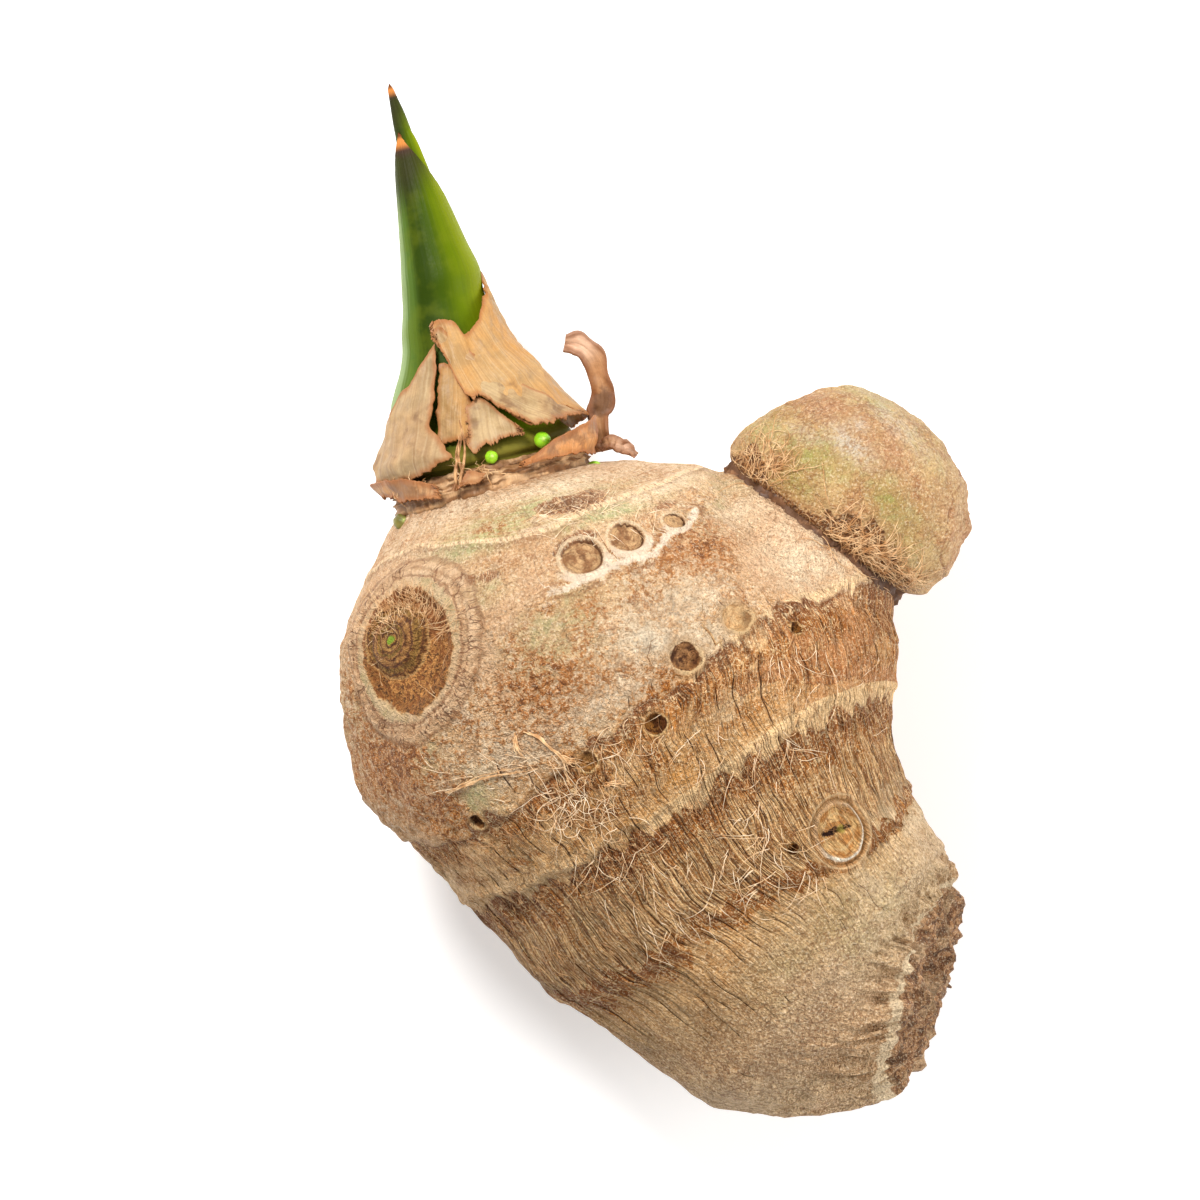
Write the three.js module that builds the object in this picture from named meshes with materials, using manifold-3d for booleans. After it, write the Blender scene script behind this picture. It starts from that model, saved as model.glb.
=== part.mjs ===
// A taro corm lying on its side, with one daughter cormel and a sprouting shoot in its papery scales.
// Millimetres. +Z is up, the corm rests on a flat spot in the plane z = 0, and the shoot points to +Y.
import * as THREE from "three";
import { mergeVertices } from "three/addons/utils/BufferGeometryUtils.js";
import Module from "manifold-3d";

const wasm = await Module();
wasm.setup();

// ---- Driving dimensions ----

const AXIS_HEIGHT = 38.5; // height of the corm's middle plane above the surface it lies on
const GAP = 0.3; // clearance between pieces that touch
const PAPER = 0.9; // radial thickness of a papery scale
const CORM_COLUMNS = 66; // points round the corm
const SHOOT_TURN = THREE.MathUtils.degToRad(14.2); // lean of the shoot from +Y towards -X
const CORMEL_TURN = THREE.MathUtils.degToRad(-36.9); // lean of the cormel from +Y towards +X
const CROWN = new THREE.Vector3(-26, 19.25, AXIS_HEIGHT); // centre of the corm's crown
const SHOOT_FOOT = new THREE.Vector3(-27.2, 18.95, AXIS_HEIGHT); // where the shoot stands on the crown
const SHOULDER = new THREE.Vector3(26.7, 11.4, AXIS_HEIGHT); // centre of the cormel's neck

// The corm's sections from its crown to its broken base: left end, right end, depth to the front and to the back.
const SECTIONS = [
  { left: [-42.5, 15], right: [-9.5, 23.5], front: 16.5, back: 16.5 },
  { left: [-47, 7.7], right: [1, 22.9], front: 22.5, back: 22 },
  { left: [-51.6, -0.8], right: [11.5, 21.3], front: 29.5, back: 28.5 },
  { left: [-53.6, -8.5], right: [22, 13.8], front: 35.5, back: 33.5 },
  { left: [-53, -17], right: [31, 7], front: 39.5, back: 37 },
  { left: [-51, -25.5], right: [38.5, 0], front: 42, back: 39.3 },
  { left: [-48.7, -34], right: [41.2, -6.8], front: 42.5, back: 39.8 },
  { left: [-42, -41.1], right: [40.8, -13.5], front: 41, back: 39.6 },
  { left: [-34, -49.1], right: [40.7, -19.5], front: 38.5, back: 38.4 },
  { left: [-25.7, -57.2], right: [41.2, -24.5], front: 36, back: 36.5 },
  { left: [-18, -66.5], right: [42.5, -29], front: 33.5, back: 34 },
  { left: [-7, -73.6], right: [44.3, -33.5], front: 31, back: 31.5 },
  { left: [2, -79.9], right: [46.3, -37.5], front: 28.5, back: 29 },
  { left: [11.5, -86.3], right: [49, -41.5], front: 25.5, back: 26 },
  { left: [26.5, -87.2], right: [50, -44.2], front: 21.5, back: 22 },
  { left: [41, -83.6], right: [50.3, -48], front: 17, back: 17 },
];
const BASE_LEAN = 3.5; // how far the front of the broken base leans back, so that it shows from above

// The leaf-scar rings: the section that each one crosses at every 45 degrees round the corm, from the right end.
const RINGS = [
  [0, 0, 0, 0, 0, 0, 0, 0],
  [1.7, 1.65, 1.9, 1.2, 1.5, 1.6, 1.6, 1.7],
  [2.4, 2.45, 3.3, 3, 3, 2.8, 2.7, 2.6],
  [5, 4.6, 5.95, 7.2, 6.9, 6.2, 5.8, 5.4],
  [7.2, 6.95, 8, 8.4, 8.2, 7.8, 7.6, 7.4],
  [10.6, 11.3, 10.5, 10.5, 10.1, 10.2, 10.4, 10.5],
  [13, 13.1, 13, 13, 12.9, 12.9, 13, 13],
  [15, 15, 15, 15, 15, 15, 15, 15],
];
const RING_RIDGE = 0.8; // how far a scar ring stands out
const RING_WIDTH = 0.1; // its half width, as a share of the way to the next ring

// Scars of side buds (raised rings in a shallow dish) and of roots (plain pits), placed on the front by x and y.
const BUD_SCARS = [
  { name: "large", at: [-41.5, -8.5], radius: 12.5, sides: 26 },
  { name: "right", at: [31.2, -38.8], radius: 5.6, sides: 20 },
  { name: "crown_a", at: [-12, 7.2], radius: 3.5, sides: 16 },
  { name: "crown_b", at: [-4.4, 10.2], radius: 3, sides: 14 },
  { name: "crown_c", at: [3.2, 13.6], radius: 1.9, sides: 10 },
];
const ROOT_PITS = [
  { at: [5.3, -9.3], radius: 2.7, depth: 1.6 },
  { at: [13.8, -2.9], radius: 2.7, depth: 0.8 },
  { at: [-0.3, -21], radius: 1.9, depth: 1.8 },
  { at: [-11.6, -27.5], radius: 1.7, depth: 1.6 },
  { at: [-29.6, -37.4], radius: 1.6, depth: 1.4 },
  { at: [23.6, -42.2], radius: 1.1, depth: 1.6 },
];

// The green shoot, by height above the crown: radius, how far its middle lies to the right, and its depth as a share.
const SHOOT_PROFILE = [
  [0.3, 14.2, 0, 1],
  [4.6, 14.2, 0, 1],
  [5.3, 15.1, 0, 1],
  [6.9, 15, 0, 1],
  [8.4, 13.9, -0.1, 0.96],
  [12, 13.6, -0.5, 0.88],
  [17, 13, -0.8, 0.85],
  [20, 11.5, -0.9, 0.85],
  [23, 9.9, -0.8, 0.85],
  [26, 8.7, -0.8, 0.88],
  [29, 8, -0.85, 0.9],
  [33, 7.1, -0.55, 0.95],
  [37, 6.85, 0, 1],
  [42, 5.8, 0, 1],
  [50, 4.3, 0, 1],
  [54, 3.5, -0.1, 1],
  [58, 2.6, -0.2, 1],
  [61.9, 1.9, -0.2, 1],
];
const SHEATH_WALL = 0.85;
const SHEATH_ROWS = [
  0.3, 4.6, 5.3, 6.9, 8.4, 11, 14, 17, 20, 23, 26.5, 30, 34, 38, 42, 46, 50, 53, 55.5, 57.5, 59.3, 60.7, 61.9,
];
// How the sheath is drawn to a point: by height, the way that its middle faces and how far it reaches round from there.
const SHEATH_SPAN = [
  [0, 95, 168],
  [20, 95, 165],
  [40, 98, 130],
  [50, 104, 98],
  [54, 108, 80],
  [58, 115, 55],
  [60, 120, 32],
  [61.9, 125, 8],
];
// The spear's bare top, above the height where the sheath still covers its sides.
const SPEAR_TOP = [
  [50, 3, 0.1],
  [54, 2.2, 0.15],
  [58, 1.35, 0.2],
  [61.9, 1.05, 0.4],
  [64, 1.3, -0.1],
  [66, 1.1, -0.2],
  [68, 0.8, -0.3],
  [70, 0.6, -0.4],
];
const SPEAR_TIP = 71.2;

// The outer face of the papery scales, by height above the crown: radius.
const SCALE_PROFILE = [
  [0, 18.4],
  [4, 18.6],
  [8, 18.6],
  [10, 17.5],
  [12, 16.4],
  [14, 15.5],
  [17, 14.1],
  [20, 12.4],
  [23, 10.7],
  [26, 9.6],
  [29, 8.8],
  [33, 8],
  [37, 7.3],
];

// The cormel, by height above its neck: radius, and how far its middle lies beyond the neck's along the crease.
const CORMEL_PROFILE = [
  [0.35, 10, 0.2],
  [0.6, 14, 0.2],
  [1, 17, 0.3],
  [1.8, 19, 0.6],
  [3.5, 20.4, 0.9],
  [6, 21, 1.1],
  [8, 21, 1.5],
  [12, 20, 2.1],
  [16, 18.3, 2.4],
  [20, 15.9, 2.3],
  [22, 14.2, 2.1],
  [24, 11.1, 1.6],
  [25.2, 8, 1.6],
  [26, 4.5, 1.8],
];
const CORMEL_TOP = 26.4;
const CORMEL_BUD = new THREE.Vector3(19.3, 15.7, 2); // its bud, which the wrinkles run round

// ---- Curves ----

// A smooth curve through rows of numbers, read at x; the first number of each row is its x.
function along(rows, x) {
  const last = rows.length - 1;
  let i = 0;
  while (i < last - 1 && x > rows[i + 1][0]) i++;
  const [a, b] = [rows[i], rows[i + 1]];
  const before = rows[Math.max(i - 1, 0)];
  const after = rows[Math.min(i + 2, last)];
  const span = b[0] - a[0];
  const s = THREE.MathUtils.clamp((x - a[0]) / span, 0, 1);
  return a.slice(1).map((from, k) => {
    const to = b[k + 1];
    const slopeIn = ((to - before[k + 1]) / (b[0] - before[0])) * span;
    const slopeOut = ((after[k + 1] - from) / (after[0] - a[0])) * span;
    return (
      from * (2 * s ** 3 - 3 * s ** 2 + 1) +
      slopeIn * (s ** 3 - 2 * s ** 2 + s) +
      to * (3 * s ** 2 - 2 * s ** 3) +
      slopeOut * (s ** 3 - s ** 2)
    );
  });
}

// A smooth closed curve through values spaced evenly round a circle.
function round(values, angle) {
  const n = values.length;
  const place = ((angle / (2 * Math.PI)) * n + n) % n;
  const rows = [-1, 0, 1, 2].map((k) => {
    const index = Math.floor(place) + k;
    return [k, values[(index + n) % n]];
  });
  return along(rows, place - Math.floor(place))[0];
}

const bump = (distance, width) => Math.exp(-((distance / width) ** 2));
const wave = (p, a, b, c) => Math.sin(a * p.x + 1) * Math.sin(b * p.y + 2) * Math.sin(c * p.z + 0.5);

// ---- Closed bodies ----

// A closed body through rings of points, each ring with as many points, and a point at either end.
function loft(rings, start, end) {
  const n = rings[0].length;
  const points = [start, ...rings.flat(), end];
  const index = [];
  const at = (ring, j) => 1 + ring * n + (j % n);
  for (let j = 0; j < n; j++) {
    index.push(0, at(0, j + 1), at(0, j));
    index.push(points.length - 1, at(rings.length - 1, j), at(rings.length - 1, j + 1));
    for (let i = 0; i < rings.length - 1; i++) {
      index.push(at(i, j), at(i, j + 1), at(i + 1, j));
      index.push(at(i, j + 1), at(i + 1, j + 1), at(i + 1, j));
    }
  }
  return outward(new THREE.BufferGeometry().setFromPoints(points).setIndex(index));
}

// The same geometry with its faces turned outwards.
function outward(geometry) {
  const index = [...geometry.index.array];
  const [a, b, c] = [new THREE.Vector3(), new THREE.Vector3(), new THREE.Vector3()];
  const position = geometry.getAttribute("position");
  let volume = 0;
  for (let i = 0; i < index.length; i += 3) {
    a.fromBufferAttribute(position, index[i]);
    b.fromBufferAttribute(position, index[i + 1]);
    c.fromBufferAttribute(position, index[i + 2]);
    volume += a.dot(b.cross(c));
  }
  if (volume < 0) index.reverse();
  return geometry.setIndex(index);
}

// A thin curved sheet: place(u, v, side) gives its inner face at side 0 and its outer face at side 1.
function sheet(place, columns, rows) {
  const rings = [];
  for (let i = 0; i <= rows; i++) {
    const v = i / rows;
    const ring = [];
    for (let j = 0; j <= columns; j++) ring.push(place(j / columns, v, 1));
    for (let j = columns; j >= 0; j--) ring.push(place(j / columns, v, 0));
    rings.push(ring);
  }
  const n = rings[0].length;
  const index = [];
  for (let i = 0; i < rows; i++)
    for (let j = 0; j < n; j++) {
      const [a, b] = [i * n + j, i * n + ((j + 1) % n)];
      index.push(a, b, a + n, b, b + n, a + n);
    }
  for (let j = 0; j < columns; j++) {
    const far = n - 1 - j;
    const top = rows * n;
    index.push(j, far, j + 1, far, far - 1, j + 1);
    index.push(top + j, top + j + 1, top + far, top + far, top + j + 1, top + far - 1);
  }
  return outward(new THREE.BufferGeometry().setFromPoints(rings.flat()).setIndex(index));
}

function solid(geometry) {
  const bare = geometry.clone();
  bare.deleteAttribute("normal");
  bare.deleteAttribute("uv");
  const merged = mergeVertices(bare, 1e-4);
  return new wasm.Manifold(
    new wasm.Mesh({
      numProp: 3,
      vertProperties: merged.getAttribute("position").array,
      triVerts: new Uint32Array(merged.index.array),
    }),
  );
}

function geometryOf(body) {
  const mesh = body.getMesh();
  return new THREE.BufferGeometry()
    .setAttribute("position", new THREE.BufferAttribute(mesh.vertProperties, 3))
    .setIndex(new THREE.BufferAttribute(mesh.triVerts, 1));
}

function piece(name, geometry, material) {
  geometry.computeVertexNormals();
  const mesh = new THREE.Mesh(geometry, material);
  mesh.name = name;
  return mesh;
}

// ---- Materials ----

const finish = (color, roughness) => new THREE.MeshStandardMaterial({ color, roughness, metalness: 0 });
const SKIN = finish(0xb8956a, 0.85);
const CORMEL_SKIN = finish(0xc4a57c, 0.8);
const LEAF = finish(0x5c8a14, 0.4);
const PAPERY = finish(0xc99b6a, 0.7);
const HUSK = finish(0x8a5a38, 0.8);
const BUD = finish(0x9ac21e, 0.35);

// ---- The corm ----

// A point on the corm's smooth skin: section 0 is the crown and 15 the base, angle 0 the right end and 90 degrees the front.
function cormPoint(section, angle) {
  const rows = SECTIONS.map((s, i) => [i, ...s.left, ...s.right, s.front, s.back]);
  const [lx, ly, rx, ry, front, back] = along(rows, section);
  const lean = BASE_LEAN * THREE.MathUtils.smoothstep(section, 12, 15);
  const [c, s] = [Math.cos(angle), Math.sin(angle)];
  return new THREE.Vector3(
    (lx + rx) / 2 + ((rx - lx) / 2) * c - lean * s,
    (ly + ry) / 2 + ((ry - ly) / 2) * c,
    AXIS_HEIGHT + s * (s > 0 ? front : back),
  );
}

// The section that a place between two scar rings lies on.
function sectionAt(ring, angle) {
  const i = Math.min(Math.floor(ring), RINGS.length - 2);
  const [from, to] = [round(RINGS[i], angle), round(RINGS[i + 1], angle)];
  return THREE.MathUtils.lerp(from, to, ring - i);
}

// How far the skin stands out of the smooth form there.
function relief(ring, p) {
  const nearest = THREE.MathUtils.clamp(Math.round(ring), 1, 6);
  const calm = 1 - bump(p.distanceTo(SHOULDER), 24); // no ridges under the cormel
  const ridge = RING_RIDGE * bump(ring - nearest, RING_WIDTH);
  return calm * (ridge + 0.8 * wave(p, 0.11, 0.13, 0.12) + 0.4 * wave(p, 0.29, 0.23, 0.31));
}

function cormRing(ring) {
  const points = [];
  for (let j = 0; j < CORM_COLUMNS; j++) {
    const angle = (2 * Math.PI * j) / CORM_COLUMNS;
    const section = sectionAt(ring, angle);
    const p = cormPoint(section, angle);
    const round = cormPoint(section, angle + 0.01).sub(cormPoint(section, angle - 0.01));
    const down = cormPoint(Math.min(section + 0.01, 15), angle).sub(cormPoint(section - 0.01, angle));
    const fade = THREE.MathUtils.smoothstep(ring, 0, 0.4) * (1 - THREE.MathUtils.smoothstep(ring, 6.6, 7));
    p.addScaledVector(round.cross(down).normalize(), fade * relief(ring, p));
    p.z = Math.max(p.z, 0);
    points.push(p);
  }
  return points;
}

// The broken base: rows that close in on its middle over a rough, slightly domed face.
function baseRings() {
  const rim = cormRing(7);
  const middle = rim.reduce((sum, p) => sum.add(p), new THREE.Vector3()).divideScalar(rim.length);
  const out = new THREE.Vector3(0.95, -0.27, 0.17);
  const shrunk = (share, height) =>
    rim.map((p) => {
      const q = middle.clone().lerp(p, share).addScaledVector(out, height);
      return q.addScaledVector(out, 0.9 * wave(q, 0.7, 0.55, 0.6));
    });
  return {
    rings: [shrunk(0.9, 0.9), shrunk(0.7, 1), shrunk(0.45, 2), shrunk(0.2, 1.6)],
    end: middle.addScaledVector(out, 1.5),
  };
}

function cormSkin() {
  const rows = [0, 0.3, 0.6];
  for (let k = 1; k < RINGS.length - 1; k++)
    rows.push(k - 0.1, k, k + 0.1, k + 0.36, k + 0.64);
  rows.push(6.8, 7);
  const rings = rows.map(cormRing);
  const crown = rings[0].map((p) => CROWN.clone().lerp(p, 0.5));
  const base = baseRings();
  return loft([crown, ...rings, ...base.rings], CROWN.clone(), base.end);
}

// Puts a lathe made on +Y onto the front of the skin, standing on it.
function onSkin(skin, [x, y], geometry) {
  const ray = new THREE.Raycaster(new THREE.Vector3(x, y, 200), new THREE.Vector3(0, 0, -1));
  const normals = [];
  const hits = [];
  for (const [dx, dy] of [[0, 0], [2, 0], [-2, 0], [0, 2], [0, -2]]) {
    ray.ray.origin.set(x + dx, y + dy, 200);
    const hit = ray.intersectObject(skin)[0];
    normals.push(hit.face.normal);
    hits.push(hit.point);
  }
  const normal = normals.reduce((sum, n) => sum.add(n), new THREE.Vector3()).normalize();
  const turn = new THREE.Quaternion().setFromUnitVectors(new THREE.Vector3(0, 1, 0), normal);
  return geometry.applyQuaternion(turn).translate(...hits[0].toArray());
}

function lathe(rows, sides) {
  const profile = rows.map(([r, h]) => new THREE.Vector2(r, h));
  return outward(mergeVertices(bareLathe(profile, sides), 1e-4));
}

function bareLathe(profile, sides) {
  const geometry = new THREE.LatheGeometry(profile, sides);
  geometry.deleteAttribute("normal");
  geometry.deleteAttribute("uv");
  return geometry;
}

// A side bud's scar: a rim, a groove, an inner ring, a sunken floor and the bud's point.
function budScar(radius, sides) {
  const sag = radius ** 2 / 90; // how far the round skin falls away at the rim
  const r = (share) => radius * share;
  return lathe(
    [
      [0, -3.5 - sag],
      [r(1), -3.5 - sag],
      [r(1), -sag],
      [r(0.95), 0.35 - sag],
      [r(0.88), 0.35 - sag * 0.8],
      [r(0.82), -0.25 - sag * 0.6],
      [r(0.68), -0.1 - sag * 0.4],
      [r(0.62), 0.25 - sag * 0.3],
      [r(0.5), -0.3 - radius * 0.05],
      [r(0.36), -0.25 - radius * 0.05],
      [r(0.28), -0.5 - radius * 0.06],
      [r(0.14), -0.3],
      [0, 0.3],
    ],
    sides,
  );
}

function corm() {
  const skin = cormSkin();
  skin.computeVertexNormals();
  const shape = new THREE.Mesh(skin);
  let body = solid(skin);
  for (const { at, radius, sides } of BUD_SCARS) {
    const deep = -3 - radius ** 2 / 90;
    const hole = lathe([[0, deep], [radius, deep], [radius, 4], [0, 4]], sides);
    body = body.subtract(solid(onSkin(shape, at, hole)));
    body = body.add(solid(onSkin(shape, at, budScar(radius * 1.001, sides))));
  }
  for (const { at, radius, depth } of ROOT_PITS) {
    const pit = lathe([[0, -depth], [radius * 0.6, -depth], [radius, 0.4], [radius, 4], [0, 4]], 12);
    body = body.subtract(solid(onSkin(shape, at, pit)));
  }
  for (const { at, radius } of BUDS.filter((bud) => bud.sunk)) {
    const seat = new THREE.SphereGeometry(radius + GAP, 16, 10).translate(...at);
    seat.rotateZ(SHOOT_TURN).translate(...SHOOT_FOOT.toArray());
    body = body.subtract(solid(seat));
  }
  const neck = lathe([[0, -12], [19.5, -12], [18, -4.5], [15.5, -1.4], [13, -0.3], [10.5, 0], [0, 0]], 32);
  neck.rotateZ(CORMEL_TURN).translate(...SHOULDER.toArray());
  return geometryOf(body.add(solid(neck)));
}

// ---- The cormel ----

function cormel() {
  const sides = 40;
  const heights = [0.35, 0.6, 1, 1.8, 3.2, 5, 7, 9.3, 11.6, 13.9, 16, 18, 19.8, 21.4, 22.8, 24, 25, 25.7, 26.1];
  const middle = new THREE.Vector3(1.6, 8.5, 0);
  const rings = heights.map((h) => {
    const [radius, shift] = along(CORMEL_PROFILE, h);
    return Array.from({ length: sides }, (_, j) => {
      const angle = (2 * Math.PI * j) / sides;
      const p = new THREE.Vector3(shift + radius * Math.cos(angle), h, 0.95 * radius * Math.sin(angle));
      const out = p.clone().sub(middle).normalize();
      const away = p.distanceTo(CORMEL_BUD);
      const wrinkle = 0.35 * bump(away - 8, 1.5) + 0.3 * bump(away - 14, 1.8) + 1.2 * bump(away, 1.8);
      const lump = 0.45 * wave(p, 0.21, 0.19, 0.23);
      return p.addScaledVector(out, THREE.MathUtils.smoothstep(h, 1, 4) * (wrinkle + lump));
    });
  });
  const foot = new THREE.Vector3(0.2, heights[0], 0);
  return loft(rings, foot, new THREE.Vector3(1.8, CORMEL_TOP, 0));
}

// ---- The shoot ----

// A point on the green, drawn in by the given distance: angle 0 is its right side and 90 degrees its front.
function onGreen(angle, height, inset) {
  const [radius, middle, depth] = along(SHOOT_PROFILE, height);
  return new THREE.Vector3(
    middle + (radius - inset) * Math.cos(angle),
    height,
    (radius * depth - inset) * Math.sin(angle),
  );
}

// The inner leaf: a solid spear that stands above the sheath wrapped round it.
function spear() {
  const sides = 20;
  const heights = [GAP, 4.6, 8.4, 12, 16, 20, 24, 28, 33, 38, 44, 50, 54, 58, 61.9, 64, 66, 68, 70];
  const rings = heights.map((height) =>
    Array.from({ length: sides }, (_, j) => {
      const angle = (2 * Math.PI * j) / sides;
      if (height < 50) return onGreen(angle, height, SHEATH_WALL + 0.4);
      const [radius, middle] = along(SPEAR_TOP, height);
      return new THREE.Vector3(middle + radius * Math.cos(angle), height, radius * Math.sin(angle));
    }),
  );
  return loft(rings, new THREE.Vector3(0, GAP, 0), new THREE.Vector3(-0.4, SPEAR_TIP, 0));
}

// The outer green sheath: open down its back, drawn to a point in front.
function greenSheath() {
  const rows = SHEATH_ROWS.length - 1;
  return sheet(
    (u, v, side) => {
      const height = SHEATH_ROWS[Math.round(v * rows)];
      const [facing, half] = along(SHEATH_SPAN, height);
      const angle = THREE.MathUtils.degToRad(facing + half * (1 - 2 * u));
      return onGreen(angle, height, (1 - side) * SHEATH_WALL);
    },
    26,
    rows,
  );
}

// A papery scale. Its side edges are angles by share of its height, its lower and upper edges are heights by share of
// its width, and its inner face lies on the scale profile, moved out by `lift` at its lower and upper edges.
function scale({ from, to, low, high, lift, thickness = PAPER, columns, rows, tear = 0 }) {
  return sheet(
    (u, v, side) => {
      const [a] = along(from, v);
      const [b] = along(to, v);
      const angle = THREE.MathUtils.degToRad(THREE.MathUtils.lerp(a, b, u));
      const [bottom] = along(low, u);
      const [top] = along(high, u);
      const ragged = tear * Math.sin(41 * u + 1) * (1 - v);
      const height = THREE.MathUtils.lerp(bottom, top, v) + ragged;
      const [under, over] = along(lift, u);
      const [outer] = along(SCALE_PROFILE, height);
      const radius = outer - PAPER + THREE.MathUtils.lerp(under, over, v) + side * thickness;
      return new THREE.Vector3(radius * Math.cos(angle), height, radius * Math.sin(angle));
    },
    columns,
    rows,
  );
}

const SCALES = {
  // The broad left scale, torn open along its right edge, with its foot curled outwards.
  scale_left: {
    from: [[0, 107], [0.15, 111], [0.32, 120], [0.42, 117.5], [0.7, 115], [1, 112]],
    to: [[0, 222], [1, 222]],
    low: [[0, 8.1], [0.13, 7], [0.25, 6.6], [0.4, 5.9], [0.56, 8.2], [0.7, 6.6], [1, 6]],
    high: [[0, 26.4], [0.14, 23.7], [0.25, 20.6], [0.36, 19.2], [0.42, 16.6], [0.55, 15.9], [0.8, 13], [1, 12]],
    lift: [[0, 0, 0.5], [0.4, -0.3, 0.7], [0.5, 0.2, 0.3], [0.56, 0.9, 0.1], [0.64, 0, 0.2], [1, 0, 0.4]],
    columns: 20,
    rows: 9,
    tear: 0.2,
  },
  // The broad right scale, with a knob over the front and a peak on the right.
  scale_right: {
    from: [[0, 112], [1, 112]],
    to: [[0, -52], [1, -52]],
    low: [
      [0, 27], [0.026, 25.9], [0.067, 22.2], [0.1, 18.5], [0.13, 16.1], [0.18, 15.5], [0.23, 13],
      [0.3, 9.7], [0.33, 8.9], [0.45, 8.9], [0.65, 8.5], [0.87, 7], [1, 6.5],
    ],
    high: [
      [0, 29], [0.03, 29.9], [0.1, 29.7], [0.15, 29], [0.195, 26.5], [0.31, 28.4],
      [0.4, 31], [0.6, 34], [0.68, 36], [0.8, 31], [1, 19],
    ],
    lift: [[0, 0.9, 0.9], [0.12, 0, 0.8], [0.2, 0, 0.1], [1, 0, 0]],
    columns: 28,
    rows: 9,
    tear: 0.3,
  },
  // The golden inner scale that shows through the tear.
  scale_inner: {
    from: [[0, 92], [0.5, 97], [1, 103]],
    to: [[0, 113], [0.5, 111], [1, 109]],
    low: [[0, 9.4], [1, 9.4]],
    high: [[0, 21.5], [0.5, 22.6], [1, 22.8]],
    lift: [[0, -2.7, -0.9], [1, -2.7, -0.9]],
    thickness: 0.65,
    columns: 5,
    rows: 6,
  },
  // The low front scale, tucked under the torn edge of the right one.
  scale_front: {
    from: [[0, 99], [1, 95]],
    to: [[0, 66], [1, 66]],
    low: [[0, 7.6], [0.1, 6.9], [0.55, 7.3], [1, 7.4]],
    high: [[0, 14.6], [0.4, 15.4], [0.6, 13.8], [0.75, 11.9], [1, 9]],
    lift: [[0, -1.2, -1.2], [1, -1.2, -1.2]],
    thickness: 0.8,
    columns: 10,
    rows: 5,
    tear: 0.2,
  },
  // Stubs of old scales round the crown: a lip on the left, a shield in front and a flap on the right.
  collar_lip: {
    from: [[0, 118], [1, 119]],
    to: [[0, 205], [1, 205]],
    low: [[0, 0.5], [0.3, 1.4], [0.6, 3], [1, 2.4]],
    high: [[0, 2.6], [0.15, 4.3], [0.33, 5.5], [0.7, 5.6], [1, 5]],
    lift: [[0, 0.4, 0.5], [0.5, 0, 0.7], [0.72, -0.1, 1.4], [1, -0.1, 0.8]],
    columns: 12,
    rows: 3,
  },
  collar_shield: {
    from: [[0, 109], [1, 101]],
    to: [[0, 95], [1, 92]],
    low: [[0, 1.4], [1, 1.7]],
    high: [[0, 4], [1, 2.7]],
    lift: [[0, 0.5, 0.3], [1, 0.5, 0.3]],
    columns: 4,
    rows: 2,
  },
  collar_flap: {
    from: [[0, 74], [1, 73]],
    to: [[0, 13], [1, 12]],
    low: [[0, 2.4], [0.2, 2.5], [0.65, 2.1], [1, 1.2]],
    high: [[0, 3.1], [0.15, 3.7], [0.35, 5.5], [0.5, 5.9], [0.72, 6.6], [1, 7.8]],
    lift: [[0, 0.6, 0.7], [0.5, 0.6, 1.1], [1, 0.6, 1.5]],
    columns: 10,
    rows: 3,
  },
};

// The brown collar of old leaf bases: stacked, frilled rings round the foot of the shoot.
function collar() {
  const sides = 40;
  const profile = [
    [14.6, 3.8],
    [15.6, 4.1],
    [16.2, 3.4],
    [15.9, 2.9],
    [16.9, 2.3],
    [16.3, 1.7],
    [17.2, 1.1],
    [16.9, GAP],
    [14.6, GAP],
  ];
  const rings = [];
  for (let j = 0; j < sides; j++) {
    const angle = (2 * Math.PI * j) / sides;
    const frill = 0.35 * Math.sin(9 * angle) + 0.25 * Math.sin(17 * angle + 2);
    rings.push(
      profile.map(([radius, height], k) => {
        const r = radius + (k > 0 && k < 8 ? frill * (k % 2) : 0);
        return new THREE.Vector3(r * Math.cos(angle) - 0.1, height, r * Math.sin(angle));
      }),
    );
  }
  const n = profile.length;
  const index = [];
  for (let i = 0; i < sides; i++)
    for (let j = 0; j < n; j++) {
      const [a, b] = [i * n + j, i * n + ((j + 1) % n)];
      const [c, d] = [((i + 1) % sides) * n + j, ((i + 1) % sides) * n + ((j + 1) % n)];
      index.push(a, b, c, b, d, c);
    }
  return outward(new THREE.BufferGeometry().setFromPoints(rings.flat()).setIndex(index));
}

// A dried strip: rows of x, y, z, half width and the turn of its width from +Z, joined in a smooth ribbon.
function strip(rows, thickness, steps) {
  const table = rows.map((row, i) => [i / (rows.length - 1), ...row]);
  const middle = (v) => new THREE.Vector3(...along(table, v).slice(0, 3));
  return sheet(
    (u, v, side) => {
      const [, , , half, turn] = along(table, v);
      const run = middle(Math.min(v + 0.01, 1)).sub(middle(Math.max(v - 0.01, 0))).normalize();
      const across = new THREE.Vector3(0, 0, 1).applyAxisAngle(run, THREE.MathUtils.degToRad(turn));
      const out = run.clone().cross(across).normalize();
      const cup = 0.35 * half * (1 - (2 * u - 1) ** 2);
      return middle(v)
        .addScaledVector(across, half * (2 * u - 1))
        .addScaledVector(out, (side - 0.5) * thickness + cup);
    },
    4,
    steps,
  );
}

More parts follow.
